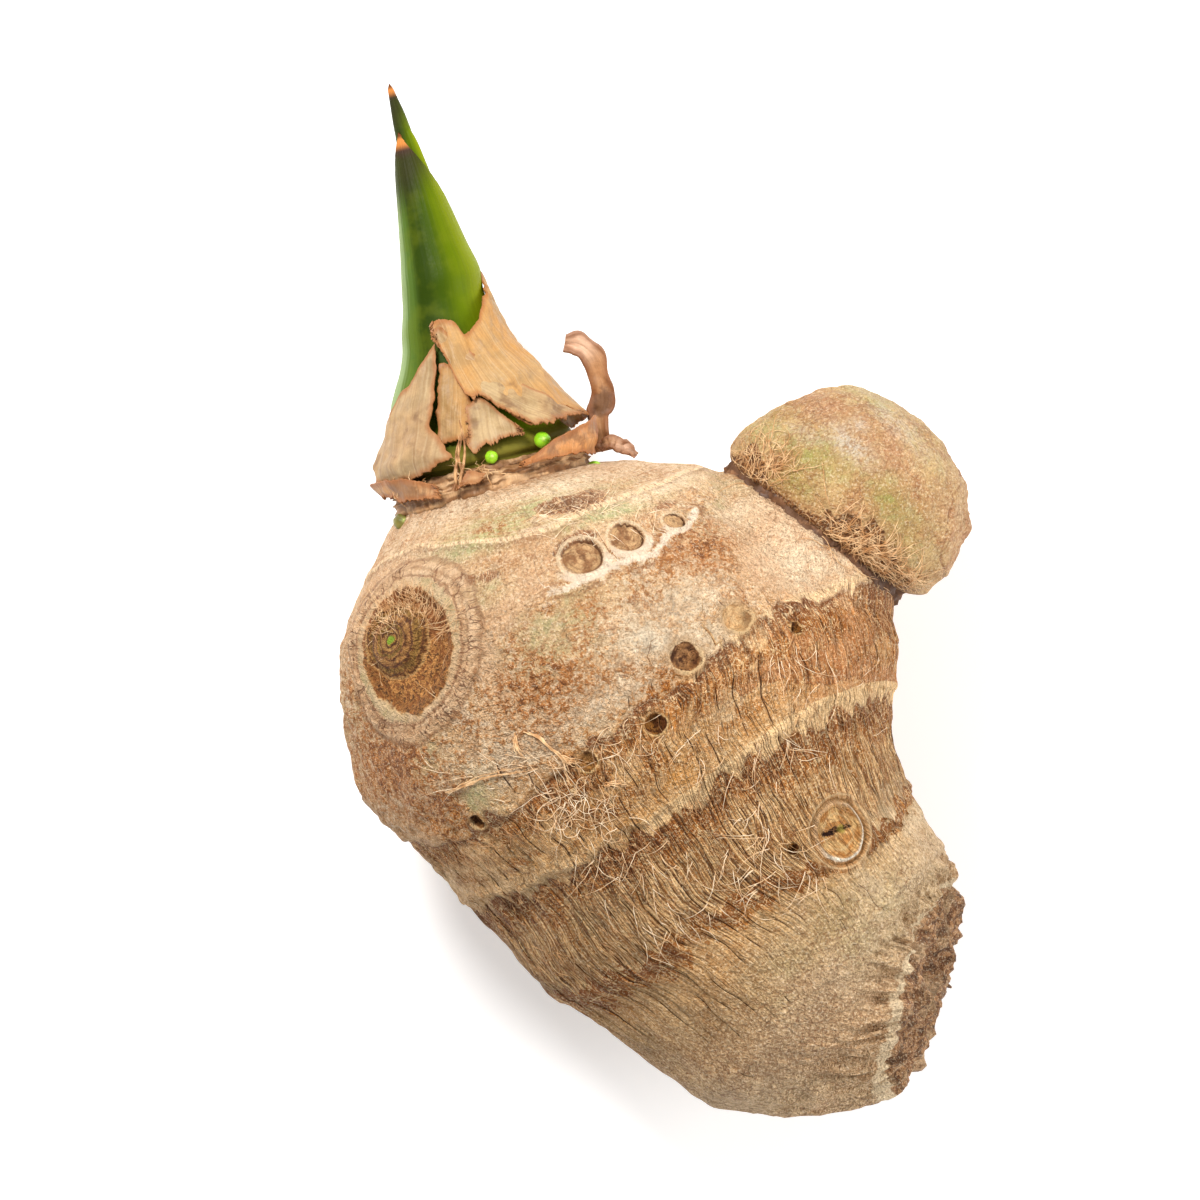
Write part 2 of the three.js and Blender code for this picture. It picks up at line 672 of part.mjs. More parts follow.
const STRIPS = {
  // The tall curl on the right, which hooks back over at its top.
  curl_tall: {
    rows: [
      [19.8, 1.6, -1.6, 1, 80],
      [19.9, 4.5, -1.6, 1.1, 80],
      [20.1, 7.5, -1.2, 1, 80],
      [21.4, 9.9, -0.8, 1.9, 80],
      [22.3, 12.8, -0.5, 1.9, 75],
      [22.3, 16.2, 0, 2.1, 75],
      [21.4, 18.9, 0.5, 2.1, 75],
      [19.8, 20.7, 0.5, 1.2, 80],
      [17.7, 21.6, 0.5, 0.4, 80],
    ],
    thickness: 0.8,
    steps: 18,
  },
  // The short curl below it, which lies over the corm's shoulder.
  curl_low: {
    rows: [
      [18.9, 2.3, 1.5, 0.9, 80],
      [20.2, 2.9, 1.6, 1, 80],
      [21.6, 2.8, 1.6, 1.1, 75],
      [23.3, 1.5, 1.3, 1.2, 70],
      [24.9, -0.5, 1, 0.6, 70],
    ],
    thickness: 0.7,
    steps: 9,
  },
};

// Round side buds at the foot of the shoot, by place and radius; the sunk ones sit in the corm's skin.
const BUDS = [
  { at: [10, 5.9, 13.4], radius: 1.4 },
  { at: [0.9, 5.2, 16.5], radius: 1.1 },
  { at: [-16.4, -1.7, 4.5], radius: 1.6, sunk: true },
  { at: [17.4, -0.7, 5], radius: 1.1, sunk: true },
];

function shoot() {
  const group = new THREE.Group();
  group.position.copy(SHOOT_FOOT);
  group.rotation.z = SHOOT_TURN;
  group.add(piece("shoot_spear", spear(), LEAF));
  group.add(piece("shoot_sheath", greenSheath(), LEAF));
  group.add(piece("leaf_base_collar", collar(), HUSK));
  for (const [name, shape] of Object.entries(SCALES)) group.add(piece(name, scale(shape), PAPERY));
  for (const [name, { rows, thickness, steps }] of Object.entries(STRIPS))
    group.add(piece(name, strip(rows, thickness, steps), HUSK));
  BUDS.forEach(({ at, radius }, i) => {
    const bud = new THREE.SphereGeometry(radius, 12, 8).translate(...at);
    group.add(piece(`side_bud_${i + 1}`, bud, BUD));
  });
  return group;
}

// ---- The whole ----

const taro = new THREE.Group();
taro.add(piece("corm", corm(), SKIN));
const cormelGroup = new THREE.Group();
cormelGroup.position.copy(SHOULDER);
cormelGroup.rotation.z = CORMEL_TURN;
cormelGroup.add(piece("cormel", cormel(), CORMEL_SKIN));
taro.add(cormelGroup, shoot());

export default taro;
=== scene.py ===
import itertools
import math

import bmesh
import bpy
import numpy as np
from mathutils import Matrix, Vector
from mathutils.bvhtree import BVHTree


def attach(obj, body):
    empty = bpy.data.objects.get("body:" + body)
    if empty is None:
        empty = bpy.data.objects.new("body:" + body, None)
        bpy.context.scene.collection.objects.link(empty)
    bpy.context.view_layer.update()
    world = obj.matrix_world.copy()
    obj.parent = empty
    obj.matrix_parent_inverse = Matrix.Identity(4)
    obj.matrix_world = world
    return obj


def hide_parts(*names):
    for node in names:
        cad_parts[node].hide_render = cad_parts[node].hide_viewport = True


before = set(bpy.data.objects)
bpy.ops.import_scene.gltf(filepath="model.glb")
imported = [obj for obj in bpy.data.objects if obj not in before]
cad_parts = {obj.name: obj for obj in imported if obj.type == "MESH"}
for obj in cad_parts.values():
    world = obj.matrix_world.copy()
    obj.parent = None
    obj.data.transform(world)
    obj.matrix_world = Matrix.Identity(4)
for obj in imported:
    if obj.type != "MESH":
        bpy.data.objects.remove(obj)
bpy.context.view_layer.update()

# ---- Sizes, in millimetres, in the solids' own frame ----

MM = 0.001
AXIS_HEIGHT = 38.5
SHOOT_TURN = math.radians(14.2)
CORMEL_TURN = math.radians(-36.9)
CROWN = np.array([-26, 19.25, AXIS_HEIGHT])
SHOOT_FOOT = np.array([-27.2, 18.95, AXIS_HEIGHT])
SHOULDER = np.array([26.7, 11.4, AXIS_HEIGHT])
SHOOT_RUN = np.array([-math.sin(SHOOT_TURN), math.cos(SHOOT_TURN), 0])  # the way that the shoot points
CORMEL_RUN = np.array([-math.sin(CORMEL_TURN), math.cos(CORMEL_TURN), 0])
BASE_LEAN = 3.5

# The corm's sections from crown to base: number, left end, right end, depth to the front and to the back.
SECTIONS = [
    (0, -42.5, 15, -9.5, 23.5, 16.5, 16.5), (1, -47, 7.7, 1, 22.9, 22.5, 22),
    (2, -51.6, -0.8, 11.5, 21.3, 29.5, 28.5), (3, -53.6, -8.5, 22, 13.8, 35.5, 33.5), (4, -53, -17, 31, 7, 39.5, 37),
    (5, -51, -25.5, 38.5, 0, 42, 39.3), (6, -48.7, -34, 41.2, -6.8, 42.5, 39.8),
    (7, -42, -41.1, 40.8, -13.5, 41, 39.6), (8, -34, -49.1, 40.7, -19.5, 38.5, 38.4),
    (9, -25.7, -57.2, 41.2, -24.5, 36, 36.5), (10, -18, -66.5, 42.5, -29, 33.5, 34),
    (11, -7, -73.6, 44.3, -33.5, 31, 31.5), (12, 2, -79.9, 46.3, -37.5, 28.5, 29),
    (13, 11.5, -86.3, 49, -41.5, 25.5, 26), (14, 26.5, -87.2, 50, -44.2, 21.5, 22),
    (15, 41, -83.6, 50.3, -48, 17, 17),
]

# The leaf-scar rings: the section that each crosses at every 45 degrees round the corm.
RINGS = [
    [0, 0, 0, 0, 0, 0, 0, 0],
    [1.7, 1.65, 1.9, 1.2, 1.5, 1.6, 1.6, 1.7],
    [2.4, 2.45, 3.3, 3, 3, 2.8, 2.7, 2.6],
    [5, 4.6, 5.95, 7.2, 6.9, 6.2, 5.8, 5.4],
    [7.2, 6.95, 8, 8.4, 8.2, 7.8, 7.6, 7.4],
    [10.6, 11.3, 10.5, 10.5, 10.1, 10.2, 10.4, 10.5],
    [13, 13.1, 13, 13, 12.9, 12.9, 13, 13],
    [15, 15, 15, 15, 15, 15, 15, 15],
]

LANES = 52  # strips of skin between the long cracks, round the corm
LANE_WIDTH = 3.3  # in the skin's UV map
STEPS = 8  # columns of the skin's mesh in a lane
ROWS = 206  # rows of the skin's mesh from the crown's middle to the base's middle

# ---- Curves and seeded noise ----


def smooth(x, low, high):
    t = np.clip((x - low) / (high - low), 0, 1)
    return t * t * (3 - 2 * t)


def bump(x, width):
    return np.exp(-((x / width) ** 2))


def along(rows, x):
    """A smooth curve through rows of numbers, read at each x; the first number of a row is its x."""
    table = np.array(rows, float)
    xs, ys = table[:, 0], table[:, 1:]
    x = np.atleast_1d(np.asarray(x, float))
    i = np.clip(np.searchsorted(xs, x, side="right") - 1, 0, len(xs) - 2)
    before, after = np.maximum(i - 1, 0), np.minimum(i + 2, len(xs) - 1)
    span = xs[i + 1] - xs[i]
    s = np.clip((x - xs[i]) / span, 0, 1)[:, None]
    into = (ys[i + 1] - ys[before]) * (span / (xs[i + 1] - xs[before]))[:, None]
    out = (ys[after] - ys[i]) * (span / (xs[after] - xs[i]))[:, None]
    return (
        ys[i] * (2 * s**3 - 3 * s**2 + 1)
        + into * (s**3 - 2 * s**2 + s)
        + ys[i + 1] * (3 * s**2 - 2 * s**3)
        + out * (s**3 - s**2)
    )


def around(values, angle):
    """A smooth closed curve through values spaced evenly round a circle."""
    n = len(values)
    rows = [(k, values[k % n]) for k in range(-2, n + 3)]
    return along(rows, (angle / (2 * math.pi) * n) % n)[:, 0]


def lumps(points, size, seed):
    """Smooth noise from about -1 to 1, with features as big as size."""
    table = np.random.default_rng(seed).uniform(-1.6, 1.6, (32, 32, 32))
    q = np.asarray(points, float) / size + 200
    cell = np.floor(q).astype(int)
    t = q - cell
    t = t * t * (3 - 2 * t)
    total = np.zeros(len(q))
    for corner in itertools.product((0, 1), repeat=3):
        weight = np.prod(np.where(corner, t, 1 - t), axis=1)
        total += weight * table[tuple(((cell + corner) % 32).T)]
    return total


def rough(points, size, seed, layers=3):
    """Lumps with smaller lumps on them."""
    return sum(lumps(points, size / 2**k, seed + k) * 0.55**k for k in range(layers))


def flat_lumps(a, b, seed):
    """Noise over two numbers."""
    return lumps(columns(a, b, np.zeros_like(a)), 1.0, seed)


def turned(points, turn, origin):
    """Points of a growth's own frame, turned about +Z and set on its foot."""
    c, s = math.cos(turn), math.sin(turn)
    x, y, z = points.T
    return columns(x * c - y * s, x * s + y * c, z) + origin


def columns(*numbers):
    return np.stack(numbers, axis=1)


def lengths(v):
    return np.linalg.norm(v, axis=1)


def unit(v):
    return v / np.maximum(np.linalg.norm(v, axis=1, keepdims=True), 1e-9)


# ---- Making pieces ----


def read(items, field, kind, size=1):
    numbers = np.empty(len(items) * size, kind)
    items.foreach_get(field, numbers)
    return numbers


def places(mesh):
    return read(mesh.vertices, "co", float, 3).reshape(-1, 3)


def put(mesh, points):
    mesh.vertices.foreach_set("co", np.asarray(points, float).ravel() * MM)
    mesh.update()


def on_shoot(points):
    """Points of the shoot's own frame, where the shoot stands."""
    return turned(points, SHOOT_TURN, SHOOT_FOOT)


def store(mesh, **named):
    """Keeps one number, or three or four, for each point of the mesh."""
    kinds = {1: ("FLOAT", "value"), 3: ("FLOAT_VECTOR", "vector"), 4: ("FLOAT_COLOR", "color")}
    for name, values in named.items():
        values = np.asarray(values, float)
        kind, field = kinds[values.size // len(values)]
        mesh.attributes.new(name, kind, "POINT").data.foreach_set(field, values.ravel())


def store_tints(mesh, *tints):
    """The papery skin's tints: golden, pink, dark, and how far away the edge is."""
    store(mesh, tints=np.clip(columns(*tints), 0, 4))


def store_uv(mesh, u, v, around_at=None):
    """The UV map from numbers at the points; around_at is the length after which u starts again."""
    corner = read(mesh.loops, "vertex_index", int)
    cu, cv = u[corner], v[corner]
    if around_at:
        starts, counts = (read(mesh.polygons, field, int) for field in ("loop_start", "loop_total"))
        top = np.repeat(np.maximum.reduceat(cu, starts), counts)
        cu = np.where(top - cu > around_at / 2, cu + around_at, cu)
    layer = mesh.uv_layers.new(name="skin")
    layer.data.foreach_set("uv", columns(cu, cv).ravel())


def linked(name, data):
    obj = bpy.data.objects.new(name, data)
    bpy.context.scene.collection.objects.link(obj)
    return obj


def piece(name, mesh, slot, material, *nodes):
    """A finished piece: smooth, on the root body, with its finish, standing for its solids."""
    mesh.name = name
    obj = linked(name, mesh)
    mesh.materials.clear()
    mesh.materials.append(material)
    mesh.polygons.foreach_set("use_smooth", [True] * len(mesh.polygons))
    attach(obj, "root")
    if nodes:
        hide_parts(*nodes)
    return obj


def mesh_from(bm):
    bmesh.ops.recalc_face_normals(bm, faces=bm.faces)
    mesh = bpy.data.meshes.new("growth")
    bm.to_mesh(mesh)
    bm.free()
    return mesh


def ball(around, down):
    """A ball's mesh, with each point's share of the way round and of the way from the top pole down."""
    bm = bmesh.new()
    bmesh.ops.create_uvsphere(bm, u_segments=around, v_segments=down, radius=1)
    mesh = mesh_from(bm)
    co = unit(places(mesh))
    return mesh, (np.arctan2(co[:, 1], co[:, 0]) / (2 * math.pi)) % 1, np.arccos(np.clip(co[:, 2], -1, 1)) / math.pi


def sheet(across, up):
    """A flat sheet's mesh, with each point's share of the way across and up."""
    bm = bmesh.new()
    bmesh.ops.create_grid(bm, x_segments=across, y_segments=up, size=1)
    mesh = mesh_from(bm)
    co = places(mesh)
    return mesh, (co[:, 0] + 1) / 2, (co[:, 1] + 1) / 2


def spun_ring(outline, steps, cuts):
    """A closed outline of radius and height spun about +Y, with its points' places, radii and angles."""
    bm = bmesh.new()
    verts = [bm.verts.new((r, h, 0)) for r, h in outline]
    edges = [bm.edges.new((a, b)) for a, b in zip(verts, verts[1:] + verts[:1])]
    if cuts:
        bmesh.ops.subdivide_edges(bm, edges=edges, cuts=cuts)
    spun = bm.verts[:] + bm.edges[:]
    bmesh.ops.spin(bm, geom=spun, cent=(0, 0, 0), axis=(0, 1, 0), angle=2 * math.pi, steps=steps, use_merge=True)
    bmesh.ops.remove_doubles(bm, verts=bm.verts, dist=1e-5)
    mesh = mesh_from(bm)
    co = places(mesh)
    return mesh, co, np.hypot(co[:, 0], co[:, 2]), np.arctan2(co[:, 2], co[:, 0])


def turn_outwards(mesh, middle):
    """Turns a sheet so that it faces away from the shoot's axis."""
    centres = np.array([p.center for p in mesh.polygons]) / MM - middle
    normals = np.array([p.normal for p in mesh.polygons])
    out = centres - (centres @ SHOOT_RUN)[:, None] * SHOOT_RUN
    if (out * normals).sum() < 0:
        mesh.flip_normals()
    return mesh


def thicken(obj, thickness, offset=-1):
    solid = obj.modifiers.new("thickness", "SOLIDIFY")
    solid.thickness = thickness * MM
    solid.offset = offset


# ---- Shader parts ----

WARMER = 0.504  # hue, where 0.5 leaves a colour as it is


class Finish:
    """A material being built: each call adds a node and gives back its output."""

    def __init__(self, name, kind="material"):
        if kind == "material":
            self.made = bpy.data.materials.new(name)
            self.made.use_nodes = True
            self.tree = self.made.node_tree
            self.shader = self.tree.nodes["Principled BSDF"]
        else:
            self.made = self.tree = bpy.data.node_groups.new(name, "ShaderNodeTree")

    def node(self, kind, **settings):
        made = self.tree.nodes.new("ShaderNode" + kind)
        for key, value in settings.items():
            setattr(made, key, value)
        return made

    def feed(self, socket, value):
        if isinstance(value, bpy.types.NodeSocket):
            self.tree.links.new(value, socket)
        elif value is not None:
            whole = socket.type == "RGBA" and isinstance(value, tuple) and len(value) == 3
            socket.default_value = (*value, 1) if whole else value

    def math(self, operation, a, b=None):
        made = self.node("Math", operation=operation)
        self.feed(made.inputs[0], a)
        self.feed(made.inputs[1], b)
        return made.outputs[0]

    def mix(self, share, a, b):
        made = self.node("Mix", data_type="RGBA")
        self.feed(made.inputs["Factor"], share)
        self.feed(made.inputs[6], a)
        self.feed(made.inputs[7], b)
        return made.outputs[2]

    def step(self, x, low, high, to=1.0, start=0.0):
        """A smooth step from start, where x is low, to another value, where it is high."""
        made = self.node("MapRange", interpolation_type="SMOOTHSTEP")
        for k, value in enumerate((x, low, high, start, to)):
            self.feed(made.inputs[k], value)
        return made.outputs[0]

    def noise(self, vector, scale, detail=2.0, roughness=0.55, warp=0.0):
        made = self.node("TexNoise")
        self.feed(made.inputs["Vector"], vector)
        made.inputs["Scale"].default_value = scale
        made.inputs["Detail"].default_value = detail
        made.inputs["Roughness"].default_value = roughness
        made.inputs["Distortion"].default_value = warp
        return made.outputs["Fac"]

    def mapped(self, vector, location=(0, 0, 0), scale=(1, 1, 1), rotation=(0, 0, 0)):
        made = self.node("Mapping")
        self.feed(made.inputs["Vector"], vector)
        made.inputs["Location"].default_value = location
        made.inputs["Rotation"].default_value = rotation
        made.inputs["Scale"].default_value = scale
        return made.outputs[0]

    def joined(self, x, y):
        made = self.node("CombineXYZ")
        self.feed(made.inputs[0], x)
        self.feed(made.inputs[1], y)
        return made.outputs[0]

    def field(self, name, output="Fac"):
        made = self.node("Attribute", attribute_name=name)
        return made.outputs[output]

    def coordinates(self, which="Object"):
        return self.node("TexCoord").outputs[which]

    def length(self, vector):
        made = self.node("VectorMath", operation="LENGTH")
        self.feed(made.inputs[0], vector)
        return made.outputs["Value"]

    def parts(self, vector):
        made = self.node("SeparateXYZ")
        self.feed(made.inputs[0], vector)
        return made.outputs

    def four(self, name):
        """The four numbers of an attribute."""
        source = self.node("Attribute", attribute_name=name)
        made = self.node("SeparateColor")
        self.feed(made.inputs[0], source.outputs["Color"])
        return *made.outputs, source.outputs["Alpha"]

    def relief(self, height, distance, strength=1.0):
        made = self.node("Bump")
        made.inputs["Strength"].default_value = strength
        made.inputs["Distance"].default_value = distance
        self.feed(made.inputs["Height"], height)
        return made.outputs[0]

    def group(self, tree, **values):
        made = self.node("Group")
        made.node_tree = tree
        for key, value in values.items():
            self.feed(made.inputs[key.replace("_", " ").capitalize()], value)
        return made.outputs

    def vivid(self, color, saturation, contrast, value):
        """The same colours with deeper darks, and more or less life."""
        deeper = self.node("Gamma")
        self.feed(deeper.inputs["Color"], color)
        deeper.inputs["Gamma"].default_value = contrast
        made = self.node("HueSaturation")
        made.inputs["Hue"].default_value = WARMER
        self.feed(made.inputs["Saturation"], saturation)
        self.feed(made.inputs["Value"], value)
        self.feed(made.inputs["Color"], deeper.outputs[0])
        return made.outputs[0]

    def ramp(self, x, *stops):
        """A strength read from pairs of x and strength."""
        made = self.node("ValToRGB")
        low, high = stops[0][0], stops[-1][0]
        share = self.node("MapRange")
        for k, value in enumerate((x, low, high)):
            self.feed(share.inputs[k], value)
        self.feed(made.inputs[0], share.outputs[0])
        points = made.color_ramp.elements
        points.remove(points[1])
        points[0].position = 0
        points[0].color = (stops[0][1],) * 3 + (1,)
        for at, strength in stops[1:]:
            points.new((at - low) / (high - low)).color = (strength,) * 3 + (1,)
        return made.outputs[0]

    def wandering(self, vector, scale, reach):
        """The same places, each moved a little way by noise."""
        cloud = self.node("TexNoise")
        self.feed(cloud.inputs["Vector"], vector)
        cloud.inputs["Scale"].default_value = scale
        moved = self.node("VectorMath", operation="MULTIPLY_ADD")
        self.feed(moved.inputs[0], cloud.outputs["Color"])
        moved.inputs[1].default_value = (reach, reach, reach)
        self.feed(moved.inputs[2], vector)
        return moved.outputs[0]

    def swing(self, x, reach):
        """Noise from 0 to 1 made to swing about 0."""
        return self.times(self.math("SUBTRACT", x, 0.5), reach)

    def off(self, x, at):
        """How far x is from a number."""
        return self.math("ABSOLUTE", self.math("SUBTRACT", x, at))

    def chain(self, operation, values):
        whole = values[0]
        for value in values[1:]:
            whole = self.math(operation, whole, value)
        return whole

    def total(self, *values):
        return self.chain("ADD", values)

    def times(self, *values):
        return self.chain("MULTIPLY", values)

    def most(self, *values):
        return self.chain("MAXIMUM", values)

    def tones(self, x, low, high, first, second):
        """One tone up to low, another from high."""
        return self.mix(self.step(x, low, high), tone(*first), tone(*second))

    def coats(self, color, *over):
        """A colour under others, each given with its share before it."""
        for share, shade in over:
            color = self.mix(share, color, tone(*shade) if isinstance(shade, tuple) else shade)
        return color

    def coat(self, share, shade):
        """Lays another colour over the finish's own."""
        self.color = self.coats(self.color, (share, shade))

    def near(self, x, at, width, strength):
        """A share that is strongest where x is at a number, and none at a width from it."""
        return self.step(self.off(x, at), width * 0.3, width, 0.0, strength)

    def done(self, color, roughness, normal=None, **plain):
        self.feed(self.shader.inputs["Base Color"], color)
        self.feed(self.shader.inputs["Roughness"], roughness)
        self.feed(self.shader.inputs["Normal"], normal)
        for key, value in plain.items():
            self.shader.inputs[key.replace("_", " ")].default_value = value
        return self.made


def tone(r, g, b):
    """A colour given as it looks, in 0 to 255."""
    return tuple(((c / 255 + 0.055) / 1.055) ** 2.4 if c > 10 else c / 3295 for c in (r, g, b))


# ---- The corm's skin ----


def corm_point(section, angle):
    lx, ly, rx, ry, front, back = along(SECTIONS, section).T
    lean = BASE_LEAN * smooth(section, 12, 15)
    c, s = np.cos(angle), np.sin(angle)
    x = (lx + rx) / 2 + (rx - lx) / 2 * c - lean * s
    y = (ly + ry) / 2 + (ry - ly) / 2 * c
    return columns(x, y, AXIS_HEIGHT + s * np.where(s > 0, front, back))


def section_at(ring, angle):
    """The section that a place between two scar rings lies on."""
    crossings = np.stack([around(values, angle) for values in RINGS])
    i = np.clip(np.floor(ring).astype(int), 0, len(RINGS) - 2)
    pick = np.arange(len(ring))
    return crossings[i, pick] + (crossings[i + 1, pick] - crossings[i, pick]) * (ring - i)


ROW_TABLE = [  # share of the mesh's rows: ring reached (-1 the crown's middle, 8 the base's)
    (0, -1), (0.03, 0), (0.125, 1), (0.19, 2), (0.375, 3), (0.515, 4), (0.695, 5), (0.825, 6), (0.93, 7), (1, 8),
]


def ring_of(row):
    shares, rings = np.array(ROW_TABLE).T
    ring = np.interp(row, shares, rings)
    whole = np.floor(ring)
    part = ring - whole
    closer = part - 0.35 * np.sin(2 * math.pi * part) / (2 * math.pi)
    return np.where((ring > 0) & (ring < 7), whole + closer, ring)


def lane_of(column):
    """The lane, with the columns drawn close to the crack at each whole number."""
    lane = column * LANES
    whole = np.floor(lane)
    offsets = [0, 0.032, 0.085, 0.29, 0.5, 0.71, 0.915, 0.968, 1]
    return whole + np.interp(lane - whole, np.arange(STEPS + 1) / STEPS, offsets)


def angle_of(lane, ring):
    """The angle of a place: lanes lie closer together on the front, and wander as they run."""
    plain = np.interp(lane, [0, 8, 44, 52], [-math.pi / 2, 0, math.pi, 3 * math.pi / 2])
    wander = 0.35 * flat_lumps(lane * 0.33, ring * 1.1, 5) + 0.12 * flat_lumps(lane * 1.1, ring * 5, 6)
    fade = smooth(lane, 0.5, 3) * smooth(LANES - lane, 0.5, 3)
    return plain + wander * fade * math.pi / 36


def smooth_skin(lane, ring):
    """Places on the corm before any relief, with the way out of the skin there."""
    angle = angle_of(lane, ring)
    inside = np.clip(ring, 0, 7)
    section = section_at(inside, angle)
    place = corm_point(section, angle)
    across = corm_point(section, angle + 0.01) - corm_point(section, angle - 0.01)
    down = corm_point(np.minimum(section + 0.02, 15), angle) - corm_point(np.maximum(section - 0.02, 0), angle)
    out = unit(np.cross(across, down))
    crown = ring < 0
    place[crown] = CROWN + (place[crown] - CROWN) * (ring[crown] + 1)[:, None]
    lid = smooth(-ring, -0.12, 0.12)[:, None]
    out = out * (1 - lid) + SHOOT_RUN * lid
    base = ring > 7
    middle = corm_point(np.full(64, 15.0), np.linspace(0, 2 * math.pi, 64, endpoint=False)).mean(axis=0)
    share = np.clip(ring[base] - 7, 0, 1)
    base_out = np.array([0.95, -0.27, 0.17])
    height = np.interp(share, [0, 0.1, 0.3, 0.55, 0.8, 1], [0, 0.9, 1.1, 2, 1.7, 1.6])
    place[base] += (middle - place[base]) * share[:, None] + base_out * height[:, None]
    lid = smooth(ring, 6.9, 7.06)[:, None]
    out = unit(out * (1 - lid) + base_out * lid)
    return place, out


def wave(p, a, b, c):
    x, y, z = p.T
    return np.sin(a * x + 1) * np.sin(b * y + 2) * np.sin(c * z + 0.5)


def ragged_ring(ring, place):
    return ring + 0.04 * lumps(place, 7, 11) + 0.03 * lumps(place, 2.6, 12) + 0.012 * lumps(place, 1.2, 13)


def crack_depth(lane, ring, place):
    """How open the long crack at the nearest whole lane is, from 0 to 1, and how far away it is."""
    nearest = np.round(lane)
    away = np.abs(lane - nearest)
    run = 0.9 * flat_lumps(nearest * 7.31, ring * 4.5, 21) + 0.6 * flat_lumps(nearest * 3.17, ring * 13, 22)
    here = along(
        [(-1, -3), (2.2, -2), (3, -0.2), (3.5, 0.4), (5.2, 0.4), (5.7, -0.5), (6.4, -1.8), (8, -3)], ring,
    )[:, 0]
    gape = smooth(run + here, 0, 0.55)
    calm = 1 - 0.8 * bump(lengths(place - SHOULDER), 16)
    return gape * calm, away


def base_relief(lane, ring, place):
    """How far the skin stands out of the smooth form."""
    calm = 1 - bump(lengths(place - SHOULDER), 24)
    edge = ragged_ring(ring, place)
    scars = np.zeros(len(ring))
    for k, (ridge, step) in enumerate([(0.25, 0.2), (0.4, 0.25), (0.4, 0.4), (0.5, 0.6), (0.5, 0.35), (0.3, 0.15)], 1):
        q = edge - k
        scars += ridge * (
            0.7 + 0.4 * lumps(place, 4, 90 + k)
        ) * bump(q + 0.03, 0.08) - step * smooth(q, 0, 0.035) * np.exp(-np.maximum(q, 0) / 0.25)
    body = 0.8 * wave(place, 0.11, 0.13, 0.12) + 0.4 * wave(place, 0.29, 0.23, 0.31)
    fine = 0.16 * rough(place, 4.5, 31) + 0.1 * lumps(place, 1.7, 33)
    blotched = smooth(ring, 1.9, 2.3) * (1 - smooth(ring, 3, 3.4))
    fine += 0.24 * blotched * rough(place, 1.7, 34, 2)
    fibrous = smooth(ring, 2.9, 3.2) * (1 - smooth(ring, 5.2, 5.8))
    fine += 0.17 * fibrous * flat_lumps(lane * 5.3, ring * 5, 35)
    folds = smooth(ring, 6.05, 6.5)
    fine += folds * (0.5 * rough(place, 6, 36) + 0.35 * flat_lumps(lane * 1.7, ring * 9, 37))
    gape, away = crack_depth(lane, ring, place)
    cracks = gape * (0.12 * bump(away - 0.1, 0.05) - 0.26 * bump(away, 0.03))
    fade = smooth(ring, -0.05, 0.3)
    crumpled = 1.1 * bump(ring - 6.75, 0.28) * flat_lumps(lane * 2.3, ring * 2.5, 39) * smooth(place[:, 0], 20, 40)
    return fade * (
        calm * (scars + body) + fine + cracks
    ) + crumpled + smooth(ring, 6.9, 7.05) * 1.1 * rough(place, 3.2, 38)


def neck(place):
    """Raises the skin into the short neck that the cormel stands on."""
    offset = place - SHOULDER
    height = offset @ CORMEL_RUN
    radius = lengths(offset - height[:, None] * CORMEL_RUN)
    target = np.interp(radius, [0, 12, 16, 18, 19.5, 22, 26], [0.6, 0.6, 0.6, -0.4, -2.6, -8, -16])
    lift = np.where(height > -16, np.maximum(target - height, 0), 0)
    return place + lift[:, None] * CORMEL_RUN


# Scars on the front: bud scars are raised and ringed, root scars are plain pits.
LARGE_BUD = ((-42.8, -8.6), 12.5)
EYE = (0.2, -0.14)  # how far the large bud's eye lies to its left and below, as shares of its radius
EYE_SIZE = (0.58, 0.5)
RIGHT_BUD = ((31.2, -38.8), 5.5)
CROWN_BUDS = [((-12, 7.2), 3.5), ((-4.4, 10.2), 3), ((3.2, 13.6), 1.9)]
PITS = [
    ((5.3, -9.3), 2.7, 1.1),
    ((13.8, -2.9), 2.7, 0.7),
    ((-0.3, -21), 1.9, 1.3),
    ((-11.6, -27.5), 1.8, 1),
    ((-29.6, -37.4), 1.5, 1.2),
    ((23.6, -42.2), 1, 1.6),
    ((23.9, -4.8), 1.1, 1.1),
    ((-15.2, -6), 0.6, 0.3),
]
SCARS = [(*scar, 0) for scar in (LARGE_BUD, RIGHT_BUD, *CROWN_BUDS)] + PITS


def scar_frames(place, out):
    """For each scar, the point of the skin under it and three ways: right, up and out."""
    frames = []
    front = place[:, 2] > AXIS_HEIGHT - 4
    for (x, y), _, _ in SCARS:
        off = np.hypot(place[:, 0] - x, place[:, 1] - y) + np.where(front, 0, 1e3)
        near = np.argsort(off)[:9]
        n = unit(out[near].mean(axis=0)[None])[0]
        right = unit((np.array([1.0, 0, 0]) - n * n[0])[None])[0]
        frames.append((place[near[0]], right, np.cross(n, right), n))
    return frames


def scar_coordinates(place, frames):
    """Where each point lies about its nearest scar, in scar radii, for each kind of scar."""
    local = []
    for (centre, right, up, out), (_, radius, depth) in zip(frames, SCARS):
        d = place - centre
        xyz = columns(d @ right, d @ up, d @ out) / radius
        far = lengths(d) > 2.4 * radius
        xyz[far] = (9, 0, 0)
        xyz[:, 2] = depth / 2
        local.append(xyz)

    def nearest(some):
        stack = np.stack(some)
        reach = np.hypot(stack[..., 0], stack[..., 1])
        return np.take_along_axis(stack, reach.argmin(axis=0)[None, :, None], axis=0)[0]

    first_pit = 2 + len(CROWN_BUDS)
    return local, local[0], local[1], nearest(local[2:first_pit]), nearest(local[first_pit:])


